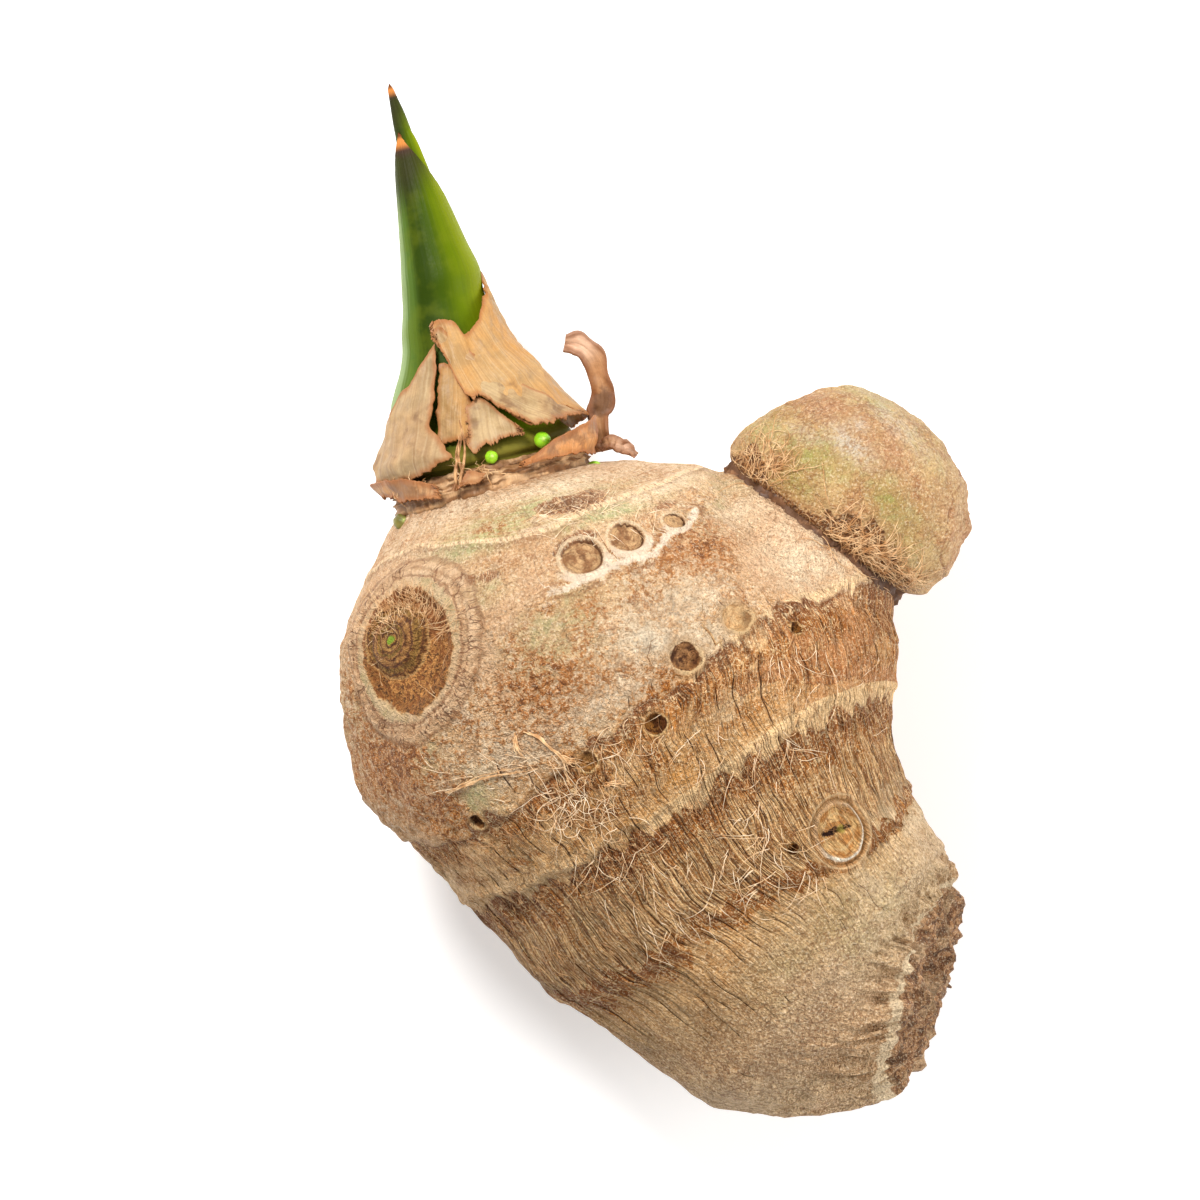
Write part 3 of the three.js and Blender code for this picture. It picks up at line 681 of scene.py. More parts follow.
def scar_relief(local):
    """How far the scars raise or sink the skin."""
    lift = np.zeros(len(local[0]))
    x, y = local[0][:, 0], local[0][:, 1]
    s = np.hypot(x, y) + 0.03 * flat_lumps(np.arctan2(y, x) * 2, np.zeros_like(x), 41)
    inner = np.hypot((x + EYE[0]) / EYE_SIZE[0], (y + EYE[1]) / EYE_SIZE[1])
    lift += 0.6 * bump(s - 1.16, 0.07) + 0.35 * bump(s - 1.0, 0.04) + 0.2 * bump(s - 0.9, 0.03)
    lift -= 1.5 * (1 - smooth(s, 0.68, 0.84)) - 1.6 * (1 - smooth(inner, 0.55, 1.1))
    for ring, width, rise in (
        (0.92, 0.05, 0.3), (0.74, 0.06, 0.3), (0.5, 0.06, 0.3), (0.33, 0.05, 0.25), (0.1, 0.08, 0.5),
    ):
        lift += rise * bump(inner - ring, width)
    lift -= 0.5 * bump(inner, 0.3)
    x, y = local[1][:, 0], local[1][:, 1]
    s = np.hypot(x, y)
    slit = bump(y - 0.35 * x - 0.05, 0.05) * (1 - smooth(np.abs(x), 0.45, 0.65))
    lift += 0.4 * bump(s - 0.86, 0.06) - 0.3 * bump(s - 1.0, 0.05) + 0.4 * bump(s - 1.18, 0.08)
    lift += (1 - smooth(s, 0.6, 0.8)) * -0.35 - 0.6 * slit * (s < 0.8) + 0.4 * bump(np.hypot(x - 0.12, y - 0.1), 0.1)
    for xyz in local[2 : 2 + len(CROWN_BUDS)]:
        s = np.hypot(xyz[:, 0], xyz[:, 1])
        crescent = bump(s - 0.93, 0.07) * (1 + 0.9 * (xyz[:, 0] + xyz[:, 1]))
        button = 0.12 * bump(s - 0.6, 0.1)
        lift += 0.35 * bump(s - 1.14, 0.1) - 0.4 * crescent + button - 0.1 * (1 - smooth(s, 0.8, 0.9))
    for xyz, (_, radius, depth) in zip(local[2 + len(CROWN_BUDS) :], PITS):
        angle = np.arctan2(xyz[:, 1], xyz[:, 0])
        s = np.hypot(xyz[:, 0], xyz[:, 1]) * (1 + 0.12 * flat_lumps(angle * 1.3, np.zeros_like(angle) + radius, 42))
        floor = 0.25 * bump(s - 0.35, 0.12) - 0.2 * bump(s, 0.2) if depth > 0.6 else 0
        lift += 0.35 * bump(s - 1.14, 0.13) - depth * (1 - smooth(s, 0.62, 0.98)) + floor
    return lift


# Patches of colour on the front, as x, y, length, width, turn in degrees and strength.
GREEN_PATCHES = [
    (-17, -5, 9, 5, 35, 1), (-21, 14, 15, 2.6, 15, 1.4), (-31, 9.5, 9, 2.8, 28, 1.2), (9, 22, 6, 2.5, -20, 0.6),
    (-38, -26, 4, 4, 0, 0.8), (11, 17, 5, 6, -30, 0.7), (33, -53, 11, 8, 20, 0.5), (-50, -20, 4, 7, 0, 0.4),
    (22, -64, 9, 5, 30, 0.35), (-6, 15.6, 14, 1.3, 20, 1.3), (-28, 2.6, 5, 3, 30, 0.9), (-30, -33, 4, 4, 0, 0.7),
]
GREY_PATCHES = [
    (-1, -7, 7, 5, 20, 1), (5, -1, 7, 5, 25, 0.9), (8, -6, 6, 5, 0, 0.7), (-8, -17, 12, 4, 25, 0.8),
    (-22, -26, 10, 4, 20, 0.7), (12, -17, 6, 5, 20, 0.5), (30, -62, 16, 10, 45, 0.7), (20, -46, 8, 4, 30, 0.3),
    (-40, 2, 9, 3, 45, 0.5),
]
BROWN_AND_SHADOW_PATCHES = [
    (-14, 15.9, 6.5, 1.8, 16, 1.3), (2, 21, 8, 1.2, 20, 0.4), (-29, 4, 8, 1.3, 12, 0.9), (-14, 9.5, 7, 2, 28, 0.7),
    (3, 17, 5, 1.6, 20, 0.6), (22, -12.5, 5, 2.2, 30, 0.6), (9, -14, 5, 2.6, -60, 0.9), (16, -33, 8, 3, 30, 0.5),
    (28, -28, 7, 6, -20, 0.3), (24, -49, 4, 2.4, 30, 0.6), (-2, -64, 5, 2, 30, 0.6), (10, -60, 6, 2, 30, 0.4),
    # The strong patch at (40, -2) is a painted shadow, in the hollow under the cormel.
    (41, -30, 5, 6, 0, 0.3), (42, -8, 3, 7, 10, 0.8), (40, -2, 3, 4, 0, 1.5), (-12, -31, 9, 4, 25, 0.8),
    (-2, -27, 6, 4, 30, 0.7), (-10, -36, 10, 3.5, 28, 0.7), (-20, -34, 5, 3, 20, 0.55),
]
CALM_PATCHES = [
    (-24, -1, 10, 4.5, 45, 1), (-28, -10, 4, 8, 10, 0.8), (18, 9, 11, 7, -50, 1), (27, 0, 8, 5, -30, 0.9),
    (-38, 9, 10, 3, 40, 0.7), (-45, 4, 6, 4, 50, 0.7), (-2, 26, 10, 2, 12, 0.7), (-26, 19, 8, 2, 20, 0.6),
    (-36, -42, 9, 6, -40, 0.7),
]
SPECKLED_PATCHES = [
    (-44, -28, 8, 6, -50, 1.3), (-36, -36, 6, 4, -40, 1), (-47, -20, 5, 6, -10, 0.7), (8, 9.5, 8, 4.5, 10, 0.9),
    (-20, -15, 10, 7, 30, 0.8), (-11, -3, 6, 4, 40, 0.6), (-27, 12, 6, 2, 20, 0.5), (2, -15, 7, 4, 30, 0.7),
    (-50, -8, 3, 10, 0, 0.5),
]
RUST_PATCHES = [
    (24, -4.5, 6, 4.5, 0, 1), (33, -5, 6, 5, 10, 1), (29, -11, 10, 3.5, 8, 1), (20, -11.5, 4, 3, 30, 0.8),
    (15, -14, 3, 3, 0, 0.7), (38, -13, 5, 3, 0, 0.8),
]
PALE_PATCHES = [
    (24, 5, 9, 4, -40, 0.9), (33, 3, 8, 3, -20, 1), (37, -17, 9, 2, 20, 1), (14, 14, 5, 3, -20, 0.7),
    (9, -10, 4, 3, 0, 0.6), (-33, 16, 8, 2, 30, 0.7), (-16, 19, 10, 1.6, 14, 0.8), (0, 19, 12, 1.2, 18, 0.8),
    (42, -36, 8, 7, -50, 1), (36, -47, 6, 4, -40, 0.6), (8, 1, 5, 3, 20, 0.5), (-5, -3, 5, 2, 30, 0.5),
    (-38, -45, 8, 4, -35, 0.5),
]


def patches(place, listed):
    """How strongly the listed patches colour each point of the front."""
    total = np.zeros(len(place))
    for x, y, length, width, turn, strength in listed:
        t = math.radians(turn)
        dx, dy = place[:, 0] - x, place[:, 1] - y
        a = (dx * math.cos(t) + dy * math.sin(t)) / length
        b = (dy * math.cos(t) - dx * math.sin(t)) / width
        total = np.maximum(total, strength * np.exp(-(a * a + b * b)))
    return total * smooth(place[:, 2], AXIS_HEIGHT - 12, AXIS_HEIGHT)


def skin_zones(place):
    """Strengths of colour at each point: brown (which also holds a painted shadow under the cormel), reddish, grey and
    green, then calm, speckled, rust and pale.
    """
    back = 1 - smooth(place[:, 2], AXIS_HEIGHT - 12, AXIS_HEIGHT)
    broad, mid = rough(place, 13, 51), rough(place, 5, 54)
    x, y = place[:, 0], place[:, 1]
    brown = patches(place, BROWN_AND_SHADOW_PATCHES) * (0.9 + 0.3 * mid) + back * 0.5 * smooth(broad, 0.5, 1.1)
    green = patches(place, GREEN_PATCHES) * (0.8 + 0.5 * mid)
    green = green + back * 0.5 * smooth(broad, 0.2, 0.9) * smooth(y, -40, -10)
    red = smooth(x, 14, 30) * smooth(y, -30, -14) * (1 - smooth(y, 2, 12)) * (0.8 + 0.4 * mid)
    grey = patches(place, GREY_PATCHES) + 0.35 * smooth(-y, 38, 58) * (0.6 + 0.4 * broad)
    marks = [patches(place, listed) for listed in (CALM_PATCHES, SPECKLED_PATCHES, RUST_PATCHES, PALE_PATCHES)]
    marks[0] += back * 0.6 * smooth(mid, 0, 1)
    marks[1] += back * 0.6 * smooth(-mid, 0, 1)
    zones, marks = columns(brown, red, grey, green), np.stack(marks, axis=1)
    return np.clip(zones, 0, 1.5), np.clip(marks, 0, 1.5)


# The pale ridge that runs under the crown's three bud scars.
PALE_RIDGE = [
    (-17.5, 1.2), (-13, 2.6), (-9.2, 4.2), (-5.5, 6.4), (-2.4, 6.8), (0.5, 8.2), (2.4, 11.2), (5.6, 12.4), (7, 15),
]


def off_line(place, line):
    """How far each point of the front lies from a line drawn on it."""
    best = np.full(len(place), 1e3)
    p = place[:, :2]
    for a, b in zip(np.array(line[:-1], float), np.array(line[1:], float)):
        t = np.clip((p - a) @ (b - a) / ((b - a) @ (b - a)), 0, 1)
        best = np.minimum(best, lengths(p - a - t[:, None] * (b - a)))
    return best + np.where(place[:, 2] > AXIS_HEIGHT, 0, 50)


def skin_places(co):
    """The lane and ring of each point of a ball, taking its poles to the crown and the base."""
    co = unit(co)
    row = np.arccos(np.clip(co[:, 2], -1, 1)) / math.pi
    column = (np.arctan2(co[:, 1], co[:, 0]) / (2 * math.pi)) % 1.0
    return lane_of(column), ring_of(row)


def corm_mesh():
    """The corm's skin: a ball's mesh, finer at the scars, moved onto the form."""
    bm = bmesh.new()
    bmesh.ops.create_uvsphere(bm, u_segments=LANES * STEPS, v_segments=ROWS, radius=1)
    co = np.array([v.co for v in bm.verts])
    lane, ring = skin_places(co)
    place, out = smooth_skin(lane, ring)
    frames = scar_frames(place, out)
    fine = np.zeros(len(place), bool)
    for (centre, *_), (_, radius, _) in zip(frames, SCARS):
        fine |= lengths(place - centre) < radius * (1.3 if radius > 4 else 1.6)
    bm.verts.ensure_lookup_table()
    chosen = [f for f in bm.faces if all(fine[v.index] for v in f.verts)]
    edges = list(dict.fromkeys(e for f in chosen for e in f.edges))
    bmesh.ops.subdivide_edges(bm, edges=edges, cuts=1, use_grid_fill=True)
    mesh = mesh_from(bm)

    lane, ring = skin_places(places(mesh))
    place, out = smooth_skin(lane, ring)
    local, bud, disc, button, pit = scar_coordinates(place, frames)
    ridge = off_line(place, PALE_RIDGE)
    hush = np.ones(len(place))
    for xyz in local:
        hush *= 1 - 0.75 * (1 - smooth(np.hypot(xyz[:, 0], xyz[:, 1]), 0.9, 1.3))
    lift = base_relief(lane, ring, place) * hush + scar_relief(local) + 0.45 * bump(ridge, 0.9)
    moved = neck(place + out * lift[:, None])
    moved[:, 2] = np.maximum(moved[:, 2], 0)
    put(mesh, moved)
    gape, away = crack_depth(lane, ring, place)
    zones, marks = skin_zones(place)
    store(
        mesh, zones=zones, marks=marks, crack=gape * bump(away, 0.036) * hush, large_bud=bud, right_bud=disc,
        crown_bud=button, pit=pit, ridge=ridge, ring=ring,
    )
    store_uv(mesh, lane * LANE_WIDTH * MM, ring * 20 * MM, LANES * LANE_WIDTH * MM)
    return mesh


# ---- Shared effects ----


def shared(name, takes, *gives):
    """A new shared effect, with its inputs and outputs: places have no value of their own, numbers have one."""
    g = Finish(name, "group")
    for label, start in takes.items():
        kind = "NodeSocketVector" if start is None else "NodeSocketFloat"
        socket = g.made.interface.new_socket(label, in_out="INPUT", socket_type=kind)
        if start is not None:
            socket.default_value = start
    for label in gives:
        g.made.interface.new_socket(label, in_out="OUTPUT", socket_type="NodeSocketFloat")
    return g, g.tree.nodes.new("NodeGroupInput").outputs, g.tree.nodes.new("NodeGroupOutput").inputs


def fibre_group():
    """Fine fibres that run along the growth: streaks and hair lines, from a map that follows the skin."""
    g, source, sink = shared("fibres", {"Map": None, "Spacing": 1000.0, "Stretch": 0.08}, "Streaks", "Lines")
    x, y, _ = g.parts(source["Map"])
    x = g.total(x, g.times(g.noise(source["Map"], 170, 2), 0.0009))
    spread = g.joined(g.times(x, source["Spacing"]), g.times(y, source["Spacing"], source["Stretch"]))
    line = g.off(g.noise(spread, 0.7, 1), 0.5)
    g.feed(sink["Streaks"], g.noise(spread, 1, 2, 0.6))
    g.feed(sink["Lines"], g.step(line, 0, 0.035, 0, 1))
    return g.made


def grain_group():
    """Fine grain: cloudy tone, specks, and dust."""
    g, source, sink = shared("grain", {"Place": None}, "Cloud", "Specks", "Dust")
    g.feed(sink["Cloud"], g.noise(source[0], 190, 3, 0.62))
    g.feed(sink["Specks"], g.step(g.noise(source[0], 900, 2, 0.7), 0.56, 0.72))
    g.feed(sink["Dust"], g.noise(source[0], 2300, 1, 0.75))
    return g.made


def hair_group():
    """A mat of fine curly hairs: thin lines that wander, from two layers of noise."""
    g, source, sink = shared("hair_mat", {"Place": None}, "Hairs")
    place = g.wandering(source[0], 500, 0.0026)
    lines = []
    for scale, turn in ((330, 0.0), (560, 0.9)):
        spun = g.mapped(place, (turn, turn * 0.7, 0), rotation=(0, 0, turn))
        line = g.math("ABSOLUTE", g.swing(g.noise(spun, scale, 1, 0.5), 1))
        lines.append(g.step(line, 0.004, 0.02, 0, 1))
    g.feed(sink[0], g.most(*lines))
    return g.made


def flaking_group():
    """Flaking skin: soft blotches, ragged flakes, the clusters that they come in, crusty scales and their rims."""
    g, source, sink = shared("flaking", {"Place": None}, "Blotch", "Flakes", "Cluster", "Scales", "Rims")
    place = source[0]
    moved = g.wandering(place, 420, 0.0018)
    g.feed(sink["Blotch"], g.noise(place, 400, 3, 0.68, 0.5))
    g.feed(sink["Flakes"], g.noise(moved, 850, 3, 0.78))
    g.feed(sink["Cluster"], g.noise(place, 110, 3, 0.6))
    cells = g.node("TexVoronoi", feature="DISTANCE_TO_EDGE")
    g.feed(cells.inputs["Vector"], moved)
    cells.inputs["Scale"].default_value = 620
    g.feed(sink["Scales"], g.step(cells.outputs["Distance"], 0, 0.3))
    g.feed(sink["Rims"], g.step(cells.outputs["Distance"], 0.09, 0.015))
    return g.made


FIBRES, GRAIN, MAT, FLAKING = fibre_group(), grain_group(), hair_group(), flaking_group()


def scallop(f, lanes, ring, start, width, high, shift):
    """How far past a scar ring a place lies, where the ring's edge is scalloped, round towards the crown."""
    wander = f.noise(f.joined(f.times(lanes, 0.5), shift), 1, 1)
    turn = f.total(f.math("DIVIDE", lanes, width), f.times(wander, 1.1))
    lobes = f.math("ABSOLUTE", f.math("SINE", f.times(turn, math.pi)))
    tall = f.step(wander, 0.35, 0.65, 1.4 * high, 0.5 * high)
    return f.total(ring, -start, f.times(f.math("POWER", lobes, 0.5), tall))


def corm_finish():
    f = Finish("corm_skin")
    place, skin = f.coordinates(), f.coordinates("UV")
    cloud, specks, dust = f.group(GRAIN, place=place)
    blotch, flakes, cluster, _, rims = f.group(FLAKING, place=place)
    streaks, lines = f.group(FIBRES, map=skin, spacing=2300, stretch=0.045)
    fine_streaks, hairs = f.group(FIBRES, map=skin, spacing=4200, stretch=0.045)
    curls = f.group(MAT, place=place)[0]
    brown, red, grey, green = f.four("zones")
    calm, speckled, rust, pale = f.four("marks")
    crack = f.field("crack")
    wide = f.noise(place, 75, 1.5, 0.5)
    bands = f.noise(f.mapped(skin, scale=(110, 1100, 0)), 1, 2.5, 0.65)

    # Where a place lies: its lane, how far along the rings, and how far past the scalloped edge of each.
    lanes = f.math("DIVIDE", f.parts(skin)[0], LANE_WIDTH * MM)
    right = f.step(f.parts(place)[0], -0.008, 0.016, 1, 0.45)
    plain_ring = f.field("ring")
    ring = f.total(plain_ring, f.swing(f.noise(place, 150, 2, 0.6), 0.06), f.swing(flakes, 0.015))
    third = scallop(f, lanes, ring, 3.08, 2.0, 0.1, 1.3)
    fourth = scallop(f, lanes, ring, 4.2, 1.8, 0.13, 4.7)
    fifth = scallop(f, lanes, ring, 5.0, 1.9, 0.12, 11.9)
    crown = f.ramp(ring, (0.93, 1), (1.04, 0))
    still = f.step(f.most(calm, grey, green), 0.3, 0.85, 0.12, 1)
    mottle = f.times(
        f.ramp(
            ring, (1.2, 0.25), (2, 1), (2.9, 1), (3.1, 0.3), (3.85, 0.35), (3.95, 0), (4.9, 0), (5.2, 0.35),
            (5.7, 0.25), (6.1, 0.1),
        ),
        still,
    )
    straw = f.times(f.ramp(ring, (4.1, 0), (4.2, 1), (4.85, 1), (5.2, 0.35), (5.8, 0.1)), f.step(pale, 0.3, 1, 0.25, 1))

    f.color = f.tones(wide, 0.35, 0.65, (204, 160, 116), (222, 186, 146))
    f.coat(f.step(blotch, 0.5, 0.34, 0.5), (186, 138, 96))
    f.coat(f.step(flakes, 0.52, 0.6, 0.45), (240, 216, 182))
    f.coat(f.times(red, 0.5), (196, 142, 106))
    f.coat(f.times(calm, f.step(blotch, 0.3, 0.6, 0.45, 0.85)), (220, 178, 142))
    ashy = f.tones(blotch, 0.38, 0.58, (190, 174, 152), (226, 210, 186))
    f.coat(f.times(grey, f.step(f.total(flakes, f.swing(cluster, 0.6)), 0.44, 0.58, 0.3, 0.9)), ashy)
    f.coat(f.times(green, f.step(blotch, 0.36, 0.6, 0.4, 0.9)), (188, 182, 134))

    # The crown: pale cream, with streaks of brown that run round it.
    creamy = f.tones(bands, 0.4, 0.56, (208, 168, 128), (232, 204, 172))
    creamy = f.coats(
        creamy,
        (f.step(f.total(bands, f.swing(flakes, 0.5), f.swing(cluster, 0.7)), 0.5, 0.58, 0.8), (188, 132, 82)),
        (f.times(green, f.step(bands, 0.6, 0.4, 0.95, 0.35)), (198, 192, 138)),
        (f.times(calm, 0.6), (220, 176, 132)),
    )
    f.coat(f.times(crown, 0.9), creamy)

    # The mottled skin under it: clusters of orange-brown flecks with pale crusts, on a smooth ground.
    fleck = f.total(flakes, f.swing(blotch, 0.45), f.swing(cluster, 0.6), f.times(speckled, 0.05))
    f.coat(f.times(mottle, f.step(fleck, 0.49, 0.56, 0.75)), (194, 132, 64))
    f.coat(f.times(mottle, f.step(fleck, 0.58, 0.63, 0.65)), (152, 92, 38))
    crust = f.total(f.noise(place, 640, 2.5, 0.7), f.swing(cluster, 0.4))
    f.coat(f.times(mottle, f.step(crust, 0.54, 0.6, 0.6)), (236, 216, 188))
    f.coat(f.times(mottle, rims, f.step(cluster, 0.46, 0.62, 0.5)), (146, 98, 62))
    f.coat(f.times(speckled, f.step(cluster, 0.36, 0.56, 0.5, 0.2)), (180, 124, 72))
    spots = f.total(flakes, f.swing(blotch, 0.4), f.times(speckled, 0.12))
    f.coat(f.times(f.step(speckled, 0.1, 0.6), f.step(spots, 0.52, 0.6, 0.8)), (184, 118, 50))
    f.coat(f.times(f.step(speckled, 0.2, 0.7), f.step(spots, 0.64, 0.68, 0.75)), (122, 70, 28))
    lower = f.tones(f.total(flakes, f.swing(dust, 0.5)), 0.4, 0.6, (176, 138, 98), (214, 180, 140))
    lower = f.coats(
        lower,
        (
            f.step(f.total(wide, f.swing(blotch, 0.4)), 0.44, 0.58, 0.7),
            f.tones(flakes, 0.4, 0.56, (186, 156, 116), (228, 200, 160)),
        ),
        (f.times(green, 0.9), (186, 172, 122)),
    )
    f.coat(f.ramp(ring, (5.1, 0), (5.6, 0.75), (6.9, 0.6)), lower)
    f.coat(
        f.times(f.ramp(ring, (5.2, 0), (5.8, 1), (6.9, 1)), rims, f.step(cluster, 0.44, 0.56, 0.5, 0.1)),
        (132, 92, 60),
    )
    f.coat(f.times(pale, f.step(f.total(blotch, f.swing(cluster, 0.5)), 0.36, 0.6, 0.95, 0.35)), (240, 218, 188))

    # Straw: fine fibres that run down the corm.
    straws = f.tones(streaks, 0.42, 0.54, (160, 114, 74), (228, 192, 150))
    straws = f.coats(
        straws,
        (f.step(fine_streaks, 0.44, 0.36, 0.7), (242, 216, 178)),
        (f.step(fine_streaks, 0.52, 0.6, 0.7), (118, 74, 44)),
    )
    f.coat(f.times(straw, 0.85), straws)

    # Brown husk below the scar rings, with scalloped edges, frayed where it ends. The brown zones join it, and with
    # them the painted shadow under the cormel.
    dark = f.most(
        f.times(
            f.ramp(
                third, (-0.01, 0), (0.01, 0.95), (0.1, 0.8), (0.3, 0.5), (0.5, 0.36), (0.7, 0.5), (0.84, 0.3),
                (0.9, 0),
            ),
            f.step(cluster, 0.36, 0.52, 1, 0.55),
        ),
        f.times(
            f.ramp(fourth, (-0.01, 0), (0.01, 1), (0.12, 0.95), (0.24, 0.5), (0.45, 0.25), (0.55, 0)),
            f.step(cluster, 0.32, 0.46, 1, 0.55),
        ),
        f.times(
            f.ramp(fifth, (-0.01, 0), (0.01, 1), (0.12, 0.9), (0.24, 0.4), (0.32, 0)),
            f.step(cluster, 0.34, 0.46, 1, 0.5),
        ),
        brown,
    )
    lobed = f.total(rust, f.swing(blotch, 0.5), f.swing(streaks, 0.35), f.swing(cluster, 0.4))
    rusty = f.tones(streaks, 0.36, 0.62, (170, 116, 82), (206, 156, 118))
    rusty = f.coats(rusty, (f.times(hairs, 0.5), (128, 80, 52)))
    f.coat(f.step(lobed, 0.46, 0.5, 0.85), rusty)
    f.coat(f.step(f.off(lobed, 0.48), 0.035, 0.01, 0.6), (122, 76, 48))
    edge = f.total(f.times(dark, 1.3), f.swing(blotch, 0.45), f.swing(streaks, 0.2), f.swing(flakes, 0.35))
    husk = f.step(edge, 0.5, 0.68)
    browns = f.tones(streaks, 0.38, 0.6, (140, 86, 50), (192, 136, 90))
    browns = f.coats(
        browns,
        (f.step(flakes, 0.5, 0.58, 0.55), (216, 174, 132)),
        (f.step(fine_streaks, 0.52, 0.64, 0.5), (108, 68, 40)),
        (f.step(dark, 0.7, 0.95, 0.5), (132, 76, 42)),
    )
    f.coat(f.times(husk, 0.9), browns)
    stripe = f.most(
        f.times(f.ramp(plain_ring, (3.92, 0), (3.98, 1), (4.4, 1)), f.step(fourth, 0, -0.02), right),
        f.times(f.ramp(plain_ring, (2.84, 0), (2.96, 0.6), (3.3, 0.6)), f.step(third, 0, -0.02), right),
        f.ramp(ring, (0.88, 0), (0.95, 0.58), (1, 0.55), (1.03, 0)),
        f.ramp(ring, (1.94, 0), (1.98, 0.4), (2, 0.4), (2.03, 0)),
    )
    stripe = f.total(stripe, f.swing(streaks, 0.15), f.swing(blotch, 0.3))
    f.coat(f.step(stripe, 0.4, 0.6, 0.85), (240, 208, 168))
    f.coat(f.times(f.step(stripe, 0.4, 0.6), f.times(lines, 0.6)), (132, 88, 56))
    bark = f.tones(flakes, 0.4, 0.6, (128, 84, 52), (198, 150, 106))
    bark = f.coats(
        bark,
        (f.step(blotch, 0.5, 0.62, 0.8), (84, 52, 34)),
        (f.step(cluster, 0.52, 0.62, 0.7), (214, 180, 142)),
    )
    f.coat(f.ramp(ring, (6.96, 0), (7.03, 0.9)), bark)
    stripe = f.ramp(ring, (6.85, 0), (6.92, 0.8), (6.97, 0.9), (7.02, 0))
    f.coat(f.step(f.total(stripe, f.swing(flakes, 0.8)), 0.4, 0.6, 0.75), (240, 218, 184))
    # Painted shadow: a thin dark line along the scalloped edges of the third and fourth rings and just past the crown's
    # ring, where the skin steps down.
    outline = f.most(f.ramp(third, (-0.03, 0), (0, 1), (0.03, 0)), f.ramp(fourth, (-0.025, 0), (0, 1), (0.025, 0)))
    outline = f.most(outline, f.ramp(ring, (0.98, 0), (1.03, 0.45), (1.14, 0)))
    f.coat(f.times(outline, f.step(blotch, 0.35, 0.55, 0.75, 0.15)), (112, 64, 34))

    # Hairs and fibres that lie on the skin.
    fibrous = f.most(f.times(straw, 0.9), f.times(husk, 0.8))
    curly = f.most(
        f.times(husk, 0.75),
        f.ramp(ring, (0.9, 0), (1.15, 0.4), (1.7, 0.35), (2, 0.12), (3, 0.12), (3.1, 0.3), (4.2, 0.3), (5, 0.1)),
    )
    f.coat(f.times(curls, curly), (240, 212, 174))
    f.coat(f.times(lines, f.times(fibrous, 0.8)), (92, 54, 30))
    f.coat(f.times(hairs, f.times(fibrous, 0.55)), (104, 62, 36))
    f.coat(f.times(specks, 0.4), (146, 94, 54))
    f.coat(f.step(dust, 0.46, 0.32, 0.35), (130, 88, 56))
    f.coat(f.step(dust, 0.55, 0.68, 0.4), (246, 226, 198))
    f.coat(f.step(crack, 0.4, 0.8, 0.9), (100, 60, 34))

    # The pale ridge below the crown's scars.
    ridge = f.total(f.field("ridge"), f.swing(blotch, 2.4), f.swing(flakes, 1.2))
    f.coat(f.step(ridge, 0.25, 0.9, 0, 0.85), (240, 222, 200))
    rim = f.off(ridge, 1.35)
    f.coat(f.step(rim, 0, 0.4, 0, 0.4), (160, 108, 70))

    large_bud_colors(f, place, blotch, flakes)
    small_scar_colors(f, place, blotch)

    combed = f.ramp(plain_ring, (2.95, 0.1), (3.1, 0.75), (4.9, 0.9), (5.4, 0.35), (6, 0.15))
    coarse = f.ramp(plain_ring, (0.9, 0.3), (1.2, 0.8), (2.9, 1.7), (3.1, 0.8), (5.3, 0.9), (5.9, 1.5))
    height = f.total(
        f.times(streaks, combed),
        f.times(lines, f.times(combed, -0.5)),
        f.times(blotch, 0.8),
        f.times(flakes, coarse),
        f.times(dust, 0.35),
        f.times(f.step(crack, 0.3, 0.9), -0.3),
    )
    normal = f.relief(height, 0.0015)
    gloss = f.step(cloud, 0.3, 0.7, 0.84, 0.66)
    life = f.times(f.ramp(plain_ring, (0.9, 0.86), (1.3, 0.86), (2.8, 0.88), (3.2, 1), (5.2, 1), (6, 0.88)), 1.08)
    # Painted light: the skin is painted darker from the third ring towards the base, and brighter towards +X, its right
    # side.
    light = f.ramp(
        plain_ring, (0.9, 0.93), (1.2, 1), (2.8, 1), (3.2, 0.95), (4.2, 0.87), (5, 0.88), (5.8, 0.9), (7, 0.92),
    )
    light = f.times(light, f.step(f.parts(place)[0], -0.025, 0.045, 1.32, 1.1))
    return f.done(f.vivid(f.color, life, 1.22, light), gloss, normal, Specular_IOR_Level=0.25)


